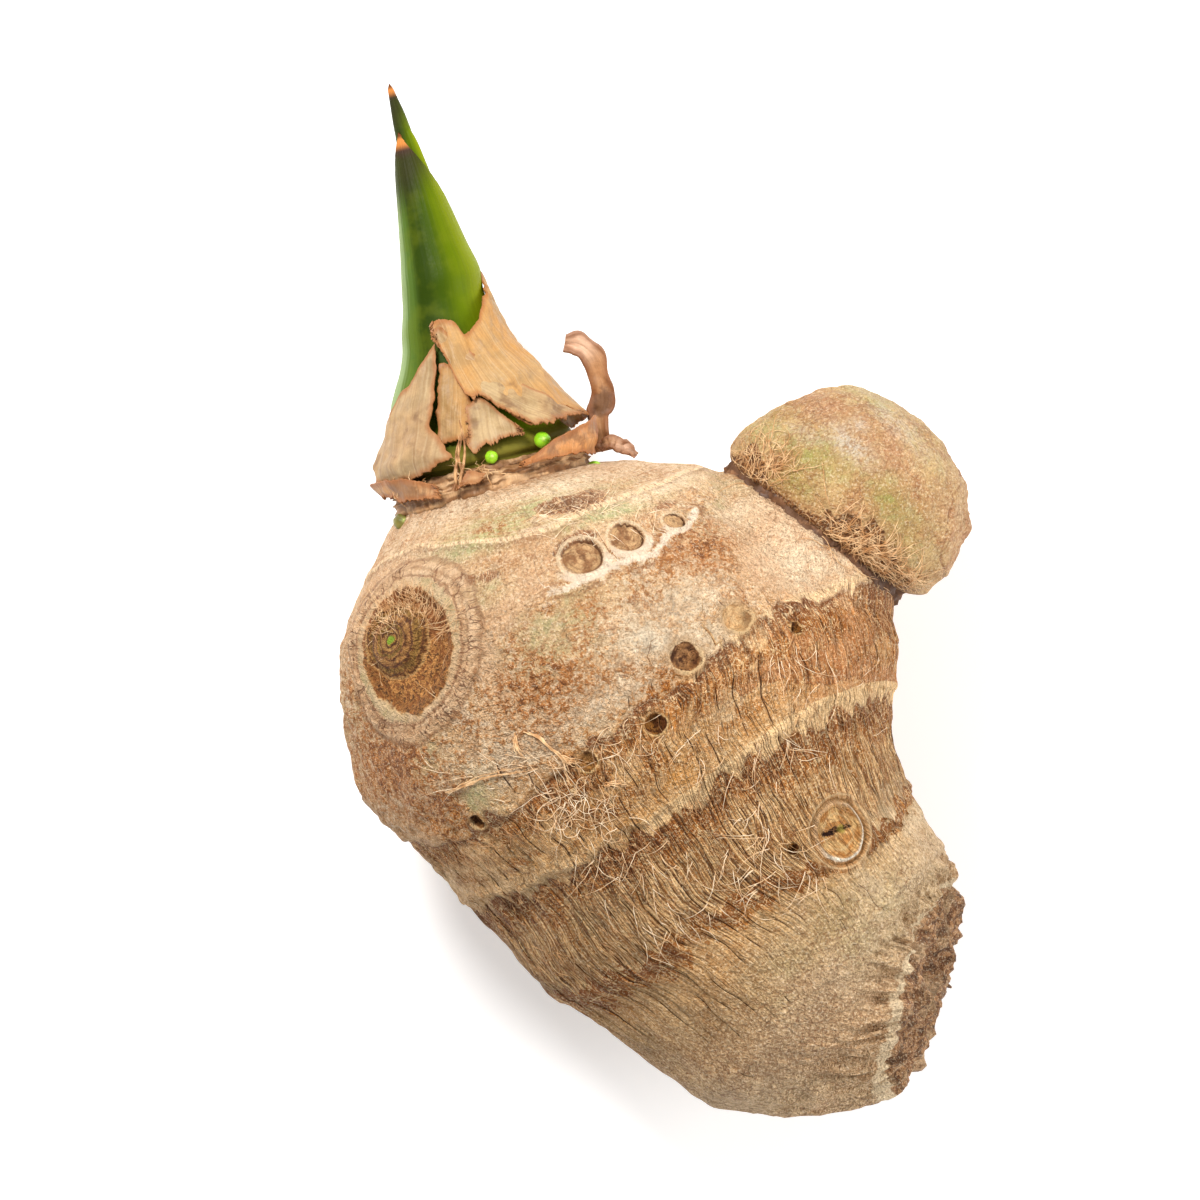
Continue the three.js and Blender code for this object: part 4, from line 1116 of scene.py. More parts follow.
def large_bud_colors(f, place, blotch, flakes):
    """The large bud scar: a pale cracked band, a greenish ring, a speckled brown dish and a ringed eye."""
    bud = f.field("large_bud", "Vector")
    bx, by, _ = f.parts(bud)
    warp = f.total(f.swing(f.noise(place, 200, 3, 0.6), 0.28), f.swing(flakes, 0.07))
    s = f.total(f.length(bud), warp)
    moved = (EYE[0] / EYE_SIZE[0], EYE[1] / EYE_SIZE[1], 0)
    placed = f.mapped(bud, moved, (1 / EYE_SIZE[0], 1 / EYE_SIZE[1], 0))
    eye = f.total(f.length(placed), f.times(warp, 0.9), f.swing(blotch, 0.2))
    turn = f.math("ARCTAN2", by, bx)
    spokes = f.joined(f.times(turn, 7), f.times(s, 2.2))
    radial = f.math("ABSOLUTE", f.swing(f.noise(spokes, 1, 2), 1))
    inside = f.step(s, 1.34, 1.22)
    banded = f.tones(blotch, 0.4, 0.6, (200, 160, 122), (226, 192, 156))
    f.coat(f.times(inside, 0.75), banded)
    f.coat(f.near(s, 1.29, 0.05, 0.45), (150, 104, 66))
    f.coat(f.near(s, 1.13, 0.03, 0.4), (166, 122, 84))
    splits = f.times(f.step(radial, 0.022, 0.006), f.ramp(s, (0.88, 0), (0.98, 1), (1.25, 1), (1.32, 0)))
    f.coat(f.times(splits, 0.75), (124, 78, 48))
    f.coat(f.near(s, 1.03, 0.03, 0.55), (150, 104, 68))
    corner = f.step(f.times(bx, by), -0.25, 0.35, 1, 0.25)
    greenish = f.tones(blotch, 0.4, 0.6, (186, 170, 126), (208, 184, 146))
    plain = f.tones(blotch, 0.4, 0.6, (198, 158, 122), (222, 186, 150))
    f.coat(f.step(s, 1.01, 0.97, 0.75), f.mix(corner, plain, greenish))
    s = f.total(s, f.times(corner, 0.1), -0.08)
    f.coat(f.near(s, 0.9, 0.03, 0.35), (228, 196, 156))
    dish = f.tones(flakes, 0.42, 0.54, (148, 92, 36), (204, 144, 74))
    dish = f.coats(dish, (f.step(f.total(flakes, f.swing(blotch, 0.5)), 0.56, 0.62, 0.8), (84, 46, 20)))
    f.coat(f.step(s, 0.87, 0.82), dish)
    # Painted shade: the dish is painted darker towards its upper side, inside the hollow.
    f.coat(f.times(f.step(s, 0.87, 0.8), f.step(by, -0.05, 0.3, 0.65)), (140, 82, 38))
    near = f.off(s, 0.76)
    f.coat(f.times(f.step(near, 0.1, 0.02), f.step(flakes, 0.46, 0.56, 0.7)), (96, 58, 30))
    f.coat(f.near(s, 0.86, 0.03, 0.35), (226, 190, 146))
    lashes = f.joined(f.times(turn, 17), f.times(s, 3.5))
    lash = f.times(f.step(f.noise(lashes, 1, 2), 0.5, 0.62), f.ramp(s, (0.5, 0), (0.6, 0.7), (0.86, 0.8), (0.98, 0)))
    f.coat(f.times(lash, f.step(by, -0.1, 0.25)), (222, 180, 136))
    face = f.tones(flakes, 0.42, 0.56, (138, 86, 38), (186, 134, 68))
    f.coat(f.step(eye, 1.06, 1), face)
    for radius, width, strength, shade in (
        (1.03, 0.05, 0.6, (208, 166, 110)), (0.95, 0.035, 0.65, (96, 58, 30)), (0.83, 0.1, 0.4, (134, 116, 50)),
        (0.71, 0.05, 0.6, (92, 54, 40)), (0.6, 0.07, 0.45, (190, 140, 80)), (0.52, 0.03, 0.65, (90, 52, 30)),
        (0.43, 0.05, 0.45, (128, 116, 46)), (0.35, 0.035, 0.7, (84, 50, 28)), (0.27, 0.05, 0.5, (196, 160, 96)),
        (0.2, 0.03, 0.8, (70, 44, 24)),
    ):
        f.coat(f.near(eye, radius, width, strength), shade)
    f.coat(f.times(f.step(radial, 0.03, 0.01), f.ramp(eye, (0.2, 0.6), (1, 0.6), (1.05, 0))), (94, 58, 34))
    f.coat(f.step(eye, 0.17, 0.09, 0.9), (146, 176, 36))


def small_scar_colors(f, place, blotch):
    """The right bud scar, the crown's three scars and the root pits."""
    warp = f.swing(f.noise(place, 420, 3), 0.16)
    disc = f.field("right_bud", "Vector")
    dx, dy, _ = f.parts(disc)
    s = f.total(f.length(disc), warp)
    lit = f.step(f.math("SUBTRACT", dx, f.times(dy, 0.6)), -0.7, 0.6, 1, 0.1)
    f.coat(f.step(s, 1.4, 1.1, 0.6), (206, 166, 128))
    f.coat(f.step(s, 0.84, 0.76), f.tones(blotch, 0.4, 0.6, (198, 148, 104), (232, 196, 150)))
    near = f.off(s, 0.9)
    f.coat(f.times(f.step(near, 0.08, 0.02), lit), (244, 232, 214))
    f.coat(f.near(s, 1.03, 0.04, 0.55), (146, 106, 68))
    f.coat(f.near(s, 1.16, 0.05, 0.5), (232, 208, 174))
    f.coat(f.near(s, 0.74, 0.04, 0.4), (150, 100, 58))
    f.coat(f.near(s, 0.55, 0.06, 0.5), (232, 204, 164))
    slit = f.off(f.math("SUBTRACT", dy, f.times(dx, 0.35)), 0.05)
    slit = f.total(slit, f.swing(blotch, 0.5), f.swing(f.noise(place, 900, 2), 0.3))
    slit = f.times(f.step(slit, 0.1, 0), f.step(f.math("ABSOLUTE", dx), 0.66, 0.5))
    f.coat(slit, (66, 38, 24))
    nub = f.length(f.mapped(disc, (-0.12, -0.1, 0), (1, 1, 0)))
    f.coat(f.step(nub, 0.2, 0.08, 0.7), (176, 160, 92))

    button = f.field("crown_bud", "Vector")
    dx, dy, _ = f.parts(button)
    s = f.total(f.length(button), warp)
    face = f.tones(blotch, 0.4, 0.6, (160, 114, 72), (206, 166, 120))
    f.coat(f.step(s, 0.98, 0.9), face)
    f.coat(f.near(s, 1.16, 0.14, 0.65), (236, 212, 178))
    halo = f.times(f.step(f.off(s, 1.3), 0.34, 0.12), f.step(f.math("SUBTRACT", dy, f.times(dx, 0.6)), 0.1, -0.9, 0.9))
    f.coat(halo, (236, 214, 190))
    shaded = f.step(f.total(dx, dy), -0.6, 0.8, 0.9, 0.25)
    near = f.off(s, 0.95)
    f.coat(f.times(f.step(near, 0.09, 0.03), shaded), (112, 70, 38))
    f.coat(f.near(s, 0.7, 0.05, 0.35), (146, 96, 54))
    f.coat(f.near(s, 0.42, 0.05, 0.35), (146, 96, 54))
    f.coat(f.near(s, 0.08, 0.12, 0.5), (112, 70, 38))

    pit = f.field("pit", "Vector")
    px, py, depth = f.parts(pit)
    s = f.total(f.length(f.joined(px, py)), f.times(warp, 2.8), f.swing(blotch, 0.5))
    f.coat(f.step(s, 1.6, 1.2, 0.4), (176, 136, 94))
    # The pit's pale lip is its own colour, made brighter on its lower right as a painted highlight.
    lip = f.times(f.step(s, 1.22, 1.06), f.step(f.math("SUBTRACT", px, py), -1.2, 1, 0.75, 0.2))
    f.coat(lip, (228, 198, 156))
    # Painted shade: the deeper pits take the darker tone inside, as shade in the hole.
    shallow = f.tones(blotch, 0.4, 0.6, (196, 152, 104), (222, 186, 140))
    deep = f.tones(blotch, 0.4, 0.6, (98, 60, 34), (182, 132, 84))
    f.coat(f.step(s, 1, 0.88), f.mix(f.step(depth, 0.4, 0.55), shallow, deep))
    f.coat(f.near(s, 0.5, 0.1, 0.45), (190, 144, 98))
    # Painted shadow: the pit's floor is painted darker towards its right side.
    f.coat(f.times(f.step(s, 1, 0.88), f.step(px, 0.1, 0.8, 0.55)), (110, 68, 38))


# ---- The cormel ----

# Its outline from the middle of its foot over its side to its top: share of the mesh's rows, height above the
# neck, radius, and how far its middle lies along the crease.
CORMEL_OUTLINE = [
    (0, 0.35, 0, 0.2), (0.03, 0.35, 5, 0.2), (0.06, 0.36, 10, 0.2), (0.09, 0.6, 14, 0.2), (0.12, 1, 17, 0.3),
    (0.16, 1.8, 19, 0.6), (0.22, 3.5, 20.4, 0.9), (0.3, 6, 21, 1.1), (0.36, 8, 21, 1.5), (0.48, 12, 20, 2.1),
    (0.6, 16, 18.3, 2.4), (0.72, 20, 15.9, 2.3), (0.79, 22, 14.2, 2.1), (0.87, 24, 11.1, 1.6), (0.93, 25.2, 8, 1.6),
    (0.97, 26, 4.5, 1.8), (1, 26.4, 0, 1.8),
]
CORMEL_BUD = np.array([19.3, 15.7, 2])

# Colour patches on the cormel's front: x, y, length, width, turn in degrees and strength.
CORMEL_GREEN = [
    (18.5, 29, 7, 4, 35, 0.8), (27.5, 24.8, 9, 4.5, -25, 1.1), (24, 20.3, 5, 3, -30, 1), (39.5, 17, 6, 3, -60, 1.1),
    (43, 11.5, 7, 4.5, -70, 0.7), (37, 34, 8, 2.4, -35, 0.8), (46, 26, 7, 3, -60, 0.6), (33, 22, 8, 3, -25, 0.6),
]
CORMEL_PALE = [
    (33, 26.4, 5, 2, -40, 1), (41, 30, 9, 2, -45, 0.6), (34.5, 29.5, 2, 1.5, 0, 0.7), (26, 28, 4, 1.5, -20, 0.5),
]
CORMEL_PINK = [(29, 33.5, 8, 2, -8, 1), (39, 24.5, 6, 5, -30, 0.9), (22, 34.4, 8, 2, 30, 0.6), (50, 14, 4, 8, 0, 0.6)]


def cormel_mesh():
    mesh, turn, down = ball(220, 150)
    angle = turn * 2 * math.pi
    height, radius, shift = along(CORMEL_OUTLINE, down).T
    place = columns(shift + radius * np.cos(angle), height, 0.95 * radius * np.sin(angle))
    out = unit(place - [1.6, 8.5, 0])
    away = lengths(place - CORMEL_BUD)
    ringed = away + 0.5 * lumps(place, 5, 61)
    lift = 0.35 * bump(ringed - 8, 1.5) + 0.3 * bump(ringed - 14, 1.8) + 1.2 * bump(away, 1.8)
    lift += 0.45 * wave(place, 0.21, 0.19, 0.23)
    fold = sum(
        bump(ringed - k, 0.22) for k in (3.1, 4.4, 5.9, 10.3, 12.2, 16.8)
    ) * smooth(lumps(place, 4, 62), -0.6, 0.5)
    lift += 0.2 * fold - 0.2 * bump(ringed - 8.9, 0.3) + 0.2 * rough(place, 3.4, 63) + 0.09 * rough(place, 1.3, 66, 2)
    skirt = (1.4 + 6.2 * bump(place[:, 0] - 7, 8.5) + 4.5 * bump(place[:, 0] + 16, 3.5)) * smooth(place[:, 2], 0, 9)
    skirt = np.maximum(skirt, 1.8)
    torn = skirt + 0.9 * rough(place, 3, 67) - place[:, 1]
    husk = smooth(torn, -0.25, 0.35)
    lift += husk * (-0.45 + 0.25 * rough(place * [1, 0.25, 1], 1.1, 68)) + 0.18 * bump(torn, 0.4)
    place = place + out * (smooth(height, 1, 4) * lift)[:, None]
    whole = turned(place, CORMEL_TURN, SHOULDER)
    put(mesh, whole)
    back = 1 - smooth(whole[:, 2], AXIS_HEIGHT - 8, AXIS_HEIGHT + 4)
    broad = rough(place, 9, 69)
    green = patches(whole, CORMEL_GREEN) + 0.7 * back * smooth(broad, 0, 0.8)
    pale = patches(whole, CORMEL_PALE)
    pink = patches(whole, CORMEL_PINK) + 0.6 * back * smooth(-broad, 0, 0.8)
    lines = np.maximum(0.8 * bump(ringed - 8.9, 0.3), 0.35 * fold)
    store(mesh, zones=np.clip(columns(green, husk, pale, pink), 0, 1.5), lines=lines)
    store_uv(mesh, turn * 0.13, down * 0.06, 0.13)
    return mesh


def cormel_finish():
    f = Finish("cormel_skin")
    place = f.coordinates()
    cloud, specks, dust = f.group(GRAIN, place=place)
    blotch, flakes, cluster, scales, rims = f.group(FLAKING, place=place)
    streaks, hairs = f.group(FIBRES, map=f.coordinates("UV"), spacing=1700, stretch=0.14)
    curls = f.group(MAT, place=place)[0]
    green, husk, pale, pink = f.four("zones")
    wide = f.noise(place, 95, 3, 0.5)
    f.color = f.tones(wide, 0.35, 0.65, (192, 154, 110), (212, 178, 134))
    f.coat(f.step(cluster, 0.45, 0.62, 0.6), (208, 156, 116))
    f.coat(f.step(f.total(flakes, f.swing(cluster, 0.6)), 0.52, 0.58, 0.6), (178, 128, 88))
    f.coat(f.step(blotch, 0.46, 0.36, 0.45), (232, 206, 172))
    f.coat(f.times(pink, f.step(blotch, 0.35, 0.62, 0.75, 0.3)), (196, 148, 114))
    f.coat(f.times(green, f.step(blotch, 0.34, 0.56, 0.4, 0.85)), (170, 162, 94))
    f.coat(f.times(pale, f.step(flakes, 0.42, 0.54, 0.85, 0.3)), (222, 212, 196))
    crusty = f.most(f.times(pink, 0.8), f.step(cluster, 0.44, 0.6))
    f.coat(f.times(rims, f.times(crusty, 0.45)), (150, 100, 66))
    f.coat(f.times(specks, 0.35), (156, 108, 70))
    wrinkle = f.total(f.field("lines"), f.swing(blotch, 0.5))
    f.coat(f.step(wrinkle, 0.3, 0.8, 0.65), (150, 102, 68))
    brown = f.tones(streaks, 0.36, 0.62, (112, 68, 38), (180, 130, 86))
    brown = f.coats(
        brown,
        (f.times(hairs, 0.7), (84, 48, 26)),
        (f.times(curls, 0.7), (226, 184, 138)),
    )
    frayed = f.total(husk, f.swing(blotch, 0.7), f.swing(flakes, 0.6))
    f.coat(f.step(frayed, 0.4, 0.6, 0.92), brown)
    f.coat(f.times(curls, f.step(frayed, 0.1, 0.5, 0.4, 0.08)), (226, 190, 148))
    f.coat(f.step(dust, 0.46, 0.32, 0.35), (128, 88, 56))
    f.coat(f.step(dust, 0.56, 0.68, 0.35), (246, 230, 206))
    height = f.total(
        f.times(blotch, 0.7), f.times(flakes, 0.7), f.times(dust, 0.25),
        f.times(scales, f.times(crusty, 0.25)), f.times(curls, 0.1),
        f.times(streaks, f.total(f.times(husk, 1.2), 0.25)),
    )
    return f.done(
        f.vivid(f.color, 1, 1.22, 0.95), f.step(cloud, 0.3, 0.7, 0.78, 0.58), f.relief(height, 0.0009),
        Specular_IOR_Level=0.3,
    )


# ---- The shoot: its own frame stands on the crown, +Y along it, +X to its right, +Z to its front ----

# By height above the crown: radius, how far its middle lies to the right, and its depth as a share.
SHOOT_PROFILE = [
    (0.3, 14.2, 0, 1), (4.6, 14.2, 0, 1), (5.3, 15.1, 0, 1), (6.9, 15, 0, 1), (8.4, 13.9, -0.1, 0.96),
    (12, 13.6, -0.5, 0.88), (17, 13, -0.8, 0.85), (20, 11.5, -0.9, 0.85), (23, 9.9, -0.8, 0.85),
    (26, 8.7, -0.8, 0.88), (29, 8, -0.85, 0.9), (33, 7.1, -0.55, 0.95), (37, 6.85, 0, 1), (42, 5.8, 0, 1),
    (50, 4.3, 0, 1), (54, 3.5, -0.1, 1), (58, 2.6, -0.2, 1), (61.9, 1.9, -0.2, 1),
]
# How the sheath is drawn to a point: by height, the way its middle faces and how far it reaches round from there.
SHEATH_SPAN = [
    (0, 95, 168), (20, 95, 165), (40, 98, 130), (50, 104, 98), (54, 107, 80), (58, 111, 54), (60, 114, 33),
    (61.5, 114, 14), (62.6, 114, 0.6),
]
SHEATH_WALL = 0.85
SPEAR_TOP = [
    (50, 3, 0.1), (54, 2.4, 0), (58, 1.85, -0.1), (61.9, 1.5, -0.1), (64, 1.32, -0.15), (66, 1.1, -0.2),
    (68, 0.8, -0.3), (70, 0.52, -0.4),
]
SPEAR_TIP = 71.2

# The outer face of the papery scales, by height above the crown.
SCALE_PROFILE = [
    (0, 18.4), (4, 18.6), (8, 18.6), (10, 17.5), (12, 16.4), (14, 15.5), (17, 14.1), (20, 12.4), (23, 10.7),
    (26, 9.6), (29, 8.8), (33, 8), (37, 7.3),
]
SCALE_THICKNESS = 0.34


def on_green(angle, height, inset):
    radius, middle, depth = along(SHOOT_PROFILE, height).T
    return columns(middle + (radius - inset) * np.cos(angle), height, (radius * depth - inset) * np.sin(angle))


def store_leaf(mesh, place):
    """Where each point lies across the leaf, and its height."""
    radius, middle, _ = along(SHOOT_PROFILE, np.clip(place[:, 1], 0.3, 61.9)).T
    store(mesh, across=(place[:, 0] - middle) / radius, height=place[:, 1])
    angle = np.arctan2(place[:, 2], place[:, 0] - middle)
    store_uv(mesh, angle * 6 * MM, place[:, 1] * MM, 12 * math.pi * MM)


def spear_mesh():
    mesh, turn, down = ball(64, 160)
    angle = turn * 2 * math.pi
    height = np.interp(down, [0, 0.04, 0.06, 0.6, 0.98, 1], [0.3, 0.3, 0.8, 50, 70.6, SPEAR_TIP])
    place = on_green(angle, np.clip(height, 0.3, 61.9), SHEATH_WALL + 0.15)
    top = height >= 50
    radius, middle = along(SPEAR_TOP, height).T
    radius = np.where(height > 70, 0.6 * (SPEAR_TIP - height) / (SPEAR_TIP - 70), radius)
    slim = columns(middle + radius * np.cos(angle), height, radius * np.sin(angle))
    blend = smooth(height, 46, 52)[:, None]
    place = place * (1 - blend) + slim * blend
    place[:, 1] = height
    foot = np.clip(down / 0.04, 0, 1)[:, None]
    place[:, [0, 2]] = np.where(down[:, None] < 0.04, place[:, [0, 2]] * foot, place[:, [0, 2]])
    fold = 0.16 * top * bump(angle - 1.1 - 0.3 * smooth(height, 58, 70), 0.12)
    place[:, 2] -= fold * radius
    store_leaf(mesh, place)
    put(mesh, on_shoot(place))
    return mesh


def rolled_leaf_mesh():
    """The next leaf's blunt tip, rolled up between the sheath and the spear."""
    mesh, turn, down = ball(24, 30)
    angle = turn * 2 * math.pi
    height = np.interp(down, [0, 1], [53, 63.2])
    radius = 0.95 * np.sqrt(np.clip(1 - ((height - 59) / 4.3).clip(0) ** 2, 0, 1)) * smooth(down, 0, 0.1)
    middle = np.interp(height, [53, 59, 63], [2, 1.15, 0.62])
    place = columns(middle + radius * np.cos(angle), height, 0.75 + radius * 0.8 * np.sin(angle))
    store_leaf(mesh, place)
    put(mesh, on_shoot(place))
    return mesh


def sheath_mesh():
    mesh, u, v = sheet(80, 190)
    height = np.interp(v, [0, 0.1, 0.86, 1], [0.3, 6, 57, 62.6])
    facing, half = along(SHEATH_SPAN, height).T
    angle = np.radians(facing + half * (1 - 2 * u))
    place = on_green(angle, height, 0.02 * np.sin(angle * 34) * smooth(height, 8, 14))
    store_leaf(mesh, place)
    put(mesh, on_shoot(place))
    return turn_outwards(mesh, SHOOT_FOOT)


def leaf_finish(name, tip, burnt, ochre):
    """Waxy green leaf: tip is its height, burnt and ochre the heights where its dark top and dried point start."""
    f = Finish(name)
    cloud, _, dust = f.group(GRAIN, place=f.coordinates())
    streaks = f.group(FIBRES, map=f.coordinates("UV"), spacing=2200, stretch=0.015)[0]
    height = f.field("height")
    across = f.total(f.field("across"), f.swing(streaks, 0.22))
    # Painted sheen: the pale grey-green at the leaf's left edge, where across is near -1, is a painted reflection.
    f.color = f.tones(across, -1, -0.8, (146, 166, 112), (78, 104, 34))
    f.coat(f.step(across, -0.82, -0.5), (42, 60, 2))
    f.coat(f.step(across, -0.36, 0.05), (56, 76, 0))
    f.coat(f.step(across, 0, 0.5), (88, 106, 0))
    f.coat(f.step(across, 0.5, 1), (130, 140, 8))
    f.coat(f.step(streaks, 0.5, 0.7, 0.2), (40, 58, 2))
    f.coat(f.step(cloud, 0.4, 0.65, 0.25), (110, 120, 20))
    upper = f.total(height, f.times(across, -2.5))
    f.coat(f.step(upper, burnt - 8, burnt, 0.85), (48, 46, 22))
    f.coat(f.step(height, burnt + 0.5, ochre, 0.85), (70, 44, 40))
    f.coat(f.step(height, ochre - 0.9, ochre + 0.6, 0.95), (206, 130, 62))
    f.coat(f.step(height, tip - 1.3, tip - 0.5, 0.9), (92, 50, 26))
    f.coat(f.step(height, 9.5, 6.5, 0.85), (122, 112, 44))
    gloss = f.step(dust, 0.3, 0.7, 0.56, 0.44)
    relief = f.relief(f.total(streaks, f.times(dust, 0.2)), 0.00012, 0.6)
    return f.done(f.color, gloss, relief, Specular_IOR_Level=0.08)


# The papery scales. Side edges are angles by share of height, lower and upper edges are heights by share of width,
# and lift moves the lower and upper edges outwards.
SCALES = {
    "scale_left": dict(
        start=[(0, 107), (0.15, 111), (0.32, 120), (0.42, 117.5), (0.7, 115), (1, 112)],
        end=[(0, 222), (1, 222)],
        low=[(0, 6.6), (0.13, 5.4), (0.25, 4.9), (0.4, 4.6), (0.56, 5.6), (0.7, 5), (1, 5)],
        high=[(0, 26.4), (0.14, 23.7), (0.25, 20.6), (0.36, 19.2), (0.42, 16.6), (0.55, 15.9), (0.8, 13), (1, 12)],
        lift=[(0, 0, 0.5), (0.4, -0.3, 0.7), (0.5, 0.2, 0.3), (0.56, 0.9, 0.1), (0.64, 0, 0.2), (1, 0, 0.4)],
        size=(150, 90), tear=0.25, slant=0.1, wear=(0.35, 0.6, 0.2),
    ),
    "scale_right": dict(
        start=[(0, 112), (1, 112)],
        end=[(0, -52), (1, -52)],
        low=[
            (0, 27), (0.026, 25.9), (0.067, 22.2), (0.1, 18.5), (0.13, 16.1), (0.18, 15.5), (0.23, 13), (0.3, 9.7),
            (0.33, 8.9), (0.45, 8.9), (0.65, 8.5), (0.87, 7), (1, 6.5),
        ],
        high=[
            (0, 29), (0.03, 29.9), (0.1, 29.7), (0.15, 29), (0.195, 26.5), (0.31, 28.4), (0.4, 31), (0.6, 34),
            (0.68, 37), (0.8, 31), (1, 19),
        ],
        lift=[
            (0, 0.9, 0.9), (0.12, 0, 0.8), (0.2, 0, 0.1), (0.5, 0, 0), (0.6, 0, -0.35), (0.68, 0, -0.7),
            (0.8, 0, -0.4), (1, 0, 0),
        ],
        size=(210, 110), tear=0.3, slant=-0.25, wear=(1.2, 0.1, 0.1),
    ),
    "scale_right_fold": dict(
        start=[(0, 111.5), (1, 111.5)],
        end=[(0, 12), (1, 20)],
        low=[
            (0, 27.4), (0.04, 26), (0.11, 22.1), (0.165, 18.3), (0.215, 16), (0.3, 15.3), (0.38, 12.8), (0.49, 9.5),
            (0.54, 8.6), (0.75, 8.7), (1, 8.6),
        ],
        high=[(0, 28.6), (0.1, 28.6), (0.36, 23.3), (0.73, 14.6), (1, 9.4)],
        lift=[(0, 1.05, 0.8), (0.12, 0.25, 0.75), (0.2, 0.3, -0.25), (1, 0.3, -0.3)],
        size=(150, 70), tear=0.4, slant=-0.9, wear=(0.7, 0.5, 0.3),
    ),
    "scale_inner": dict(
        start=[(0, 82), (0.5, 90), (1, 100)],
        end=[(0, 121), (0.5, 118), (1, 113)],
        low=[(0, 9.4), (1, 9.4)],
        high=[(0, 21.5), (0.5, 22.6), (1, 22.8)],
        lift=[(0, -2.7, -0.9), (1, -2.7, -0.9)],
        size=(36, 70), tear=0.3, slant=0.2, wear=(1.2, 0, 0),
    ),
    "scale_front": dict(
        start=[(0, 99), (1, 95)],
        end=[(0, 66), (1, 66)],
        low=[(0, 7.6), (0.1, 6.9), (0.55, 7.3), (1, 7.4)],
        high=[(0, 14.6), (0.4, 15.4), (0.6, 13.8), (0.75, 11.9), (1, 9)],
        lift=[(0, -1.2, -1.2), (1, -1.2, -1.2)],
        size=(60, 50), tear=0.5, slant=0.1, wear=(0.1, 0.5, 0.2),
    ),
    "collar_lip": dict(
        start=[(0, 118), (1, 119)],
        end=[(0, 205), (1, 205)],
        low=[(0, 0.5), (0.3, 1.4), (0.6, 3), (1, 2.4)],
        high=[(0, 2.6), (0.15, 4.3), (0.33, 5.5), (0.7, 5.6), (1, 5)],
        lift=[(0, 0.4, 0.5), (0.5, 0, 0.7), (0.72, -0.1, 1.4), (1, -0.1, 0.8)],
        size=(90, 22), tear=0.4, slant=0.1, wear=(0.9, 0.2, 0.8),
    ),
    "collar_shield": dict(
        start=[(0, 109), (1, 101)],
        end=[(0, 95), (1, 92)],
        low=[(0, 1.4), (1, 1.7)],
        high=[(0, 4), (1, 2.7)],
        lift=[(0, 0.5, 0.3), (1, 0.5, 0.3)],
        size=(24, 20), tear=0.3, slant=0.1, wear=(0.6, 0.2, 0.8),
    ),
    "collar_flap": dict(
        start=[(0, 74), (1, 73)],
        end=[(0, 13), (1, 12)],
        low=[(0, 2.4), (0.2, 2.5), (0.65, 2.1), (1, 1.2)],
        high=[(0, 3.1), (0.15, 3.7), (0.35, 5.5), (0.5, 5.9), (0.72, 6.6), (1, 7.8)],
        lift=[(0, 0.6, 0.7), (0.5, 0.6, 1.1), (1, 0.6, 1.5)],
        size=(90, 34), tear=0.25, slant=0.4, wear=(1.3, 0, 0.5),
    ),
}


def scale_mesh(seed, start, end, low, high, lift, size, tear, slant, wear):
    mesh, u, v = sheet(*size)
    first, last = along(start, v)[:, 0], along(end, v)[:, 0]
    edge_noise = lumps(columns(v * 24, u * 0, u * 0 + seed), 1, seed)
    side = 2.2 * tear * edge_noise
    angle = np.radians(first + (last - first) * u + side * (bump(u, 0.05) - bump(1 - u, 0.05)))
    bottom, top = along(low, u)[:, 0], along(high, u)[:, 0]
    jag = 0.7 * lumps(columns(u * size[0] * 0.2, u * 0, u * 0), 1, seed + 1)
    jag += 0.9 * np.abs(lumps(columns(u * size[0] * 0.9, u * 0, u * 0), 1, seed + 2))
    height = bottom + (top - bottom) * v + tear * jag * (1 - v) ** 3 + 0.3 * tear * jag * v**6
    under, over = along(lift, u).T
    spot = columns(angle * 15, height, angle * 0 + seed)
    crumple = 0.34 * rough(spot, 5, seed + 3) + 0.08 * lumps(spot, 1.6, seed + 5)
    curl = 0.35 * (1 - smooth(v, 0, 0.1)) * tear
    radius = along(SCALE_PROFILE, height)[:, 0] - 0.12 + under + (over - under) * v + crumple + curl
    put(mesh, on_shoot(columns(radius * np.cos(angle), height, radius * np.sin(angle))))
    reach = np.abs(last - first) * 0.26
    edge = np.minimum(np.minimum(u, 1 - u) * reach, np.minimum(v, 1 - v) * np.abs(top - bottom))
    golden, pink, dark = wear
    shade = rough(spot, 6, seed + 7)
    store_tints(mesh, golden + 0.5 * shade, pink + 0.4 * shade, dark + 0.3 * rough(spot, 3, seed + 8), edge)
    store_uv(mesh, (angle * 13 + slant * height) * MM, height * MM)
    return turn_outwards(mesh, SHOOT_FOOT)


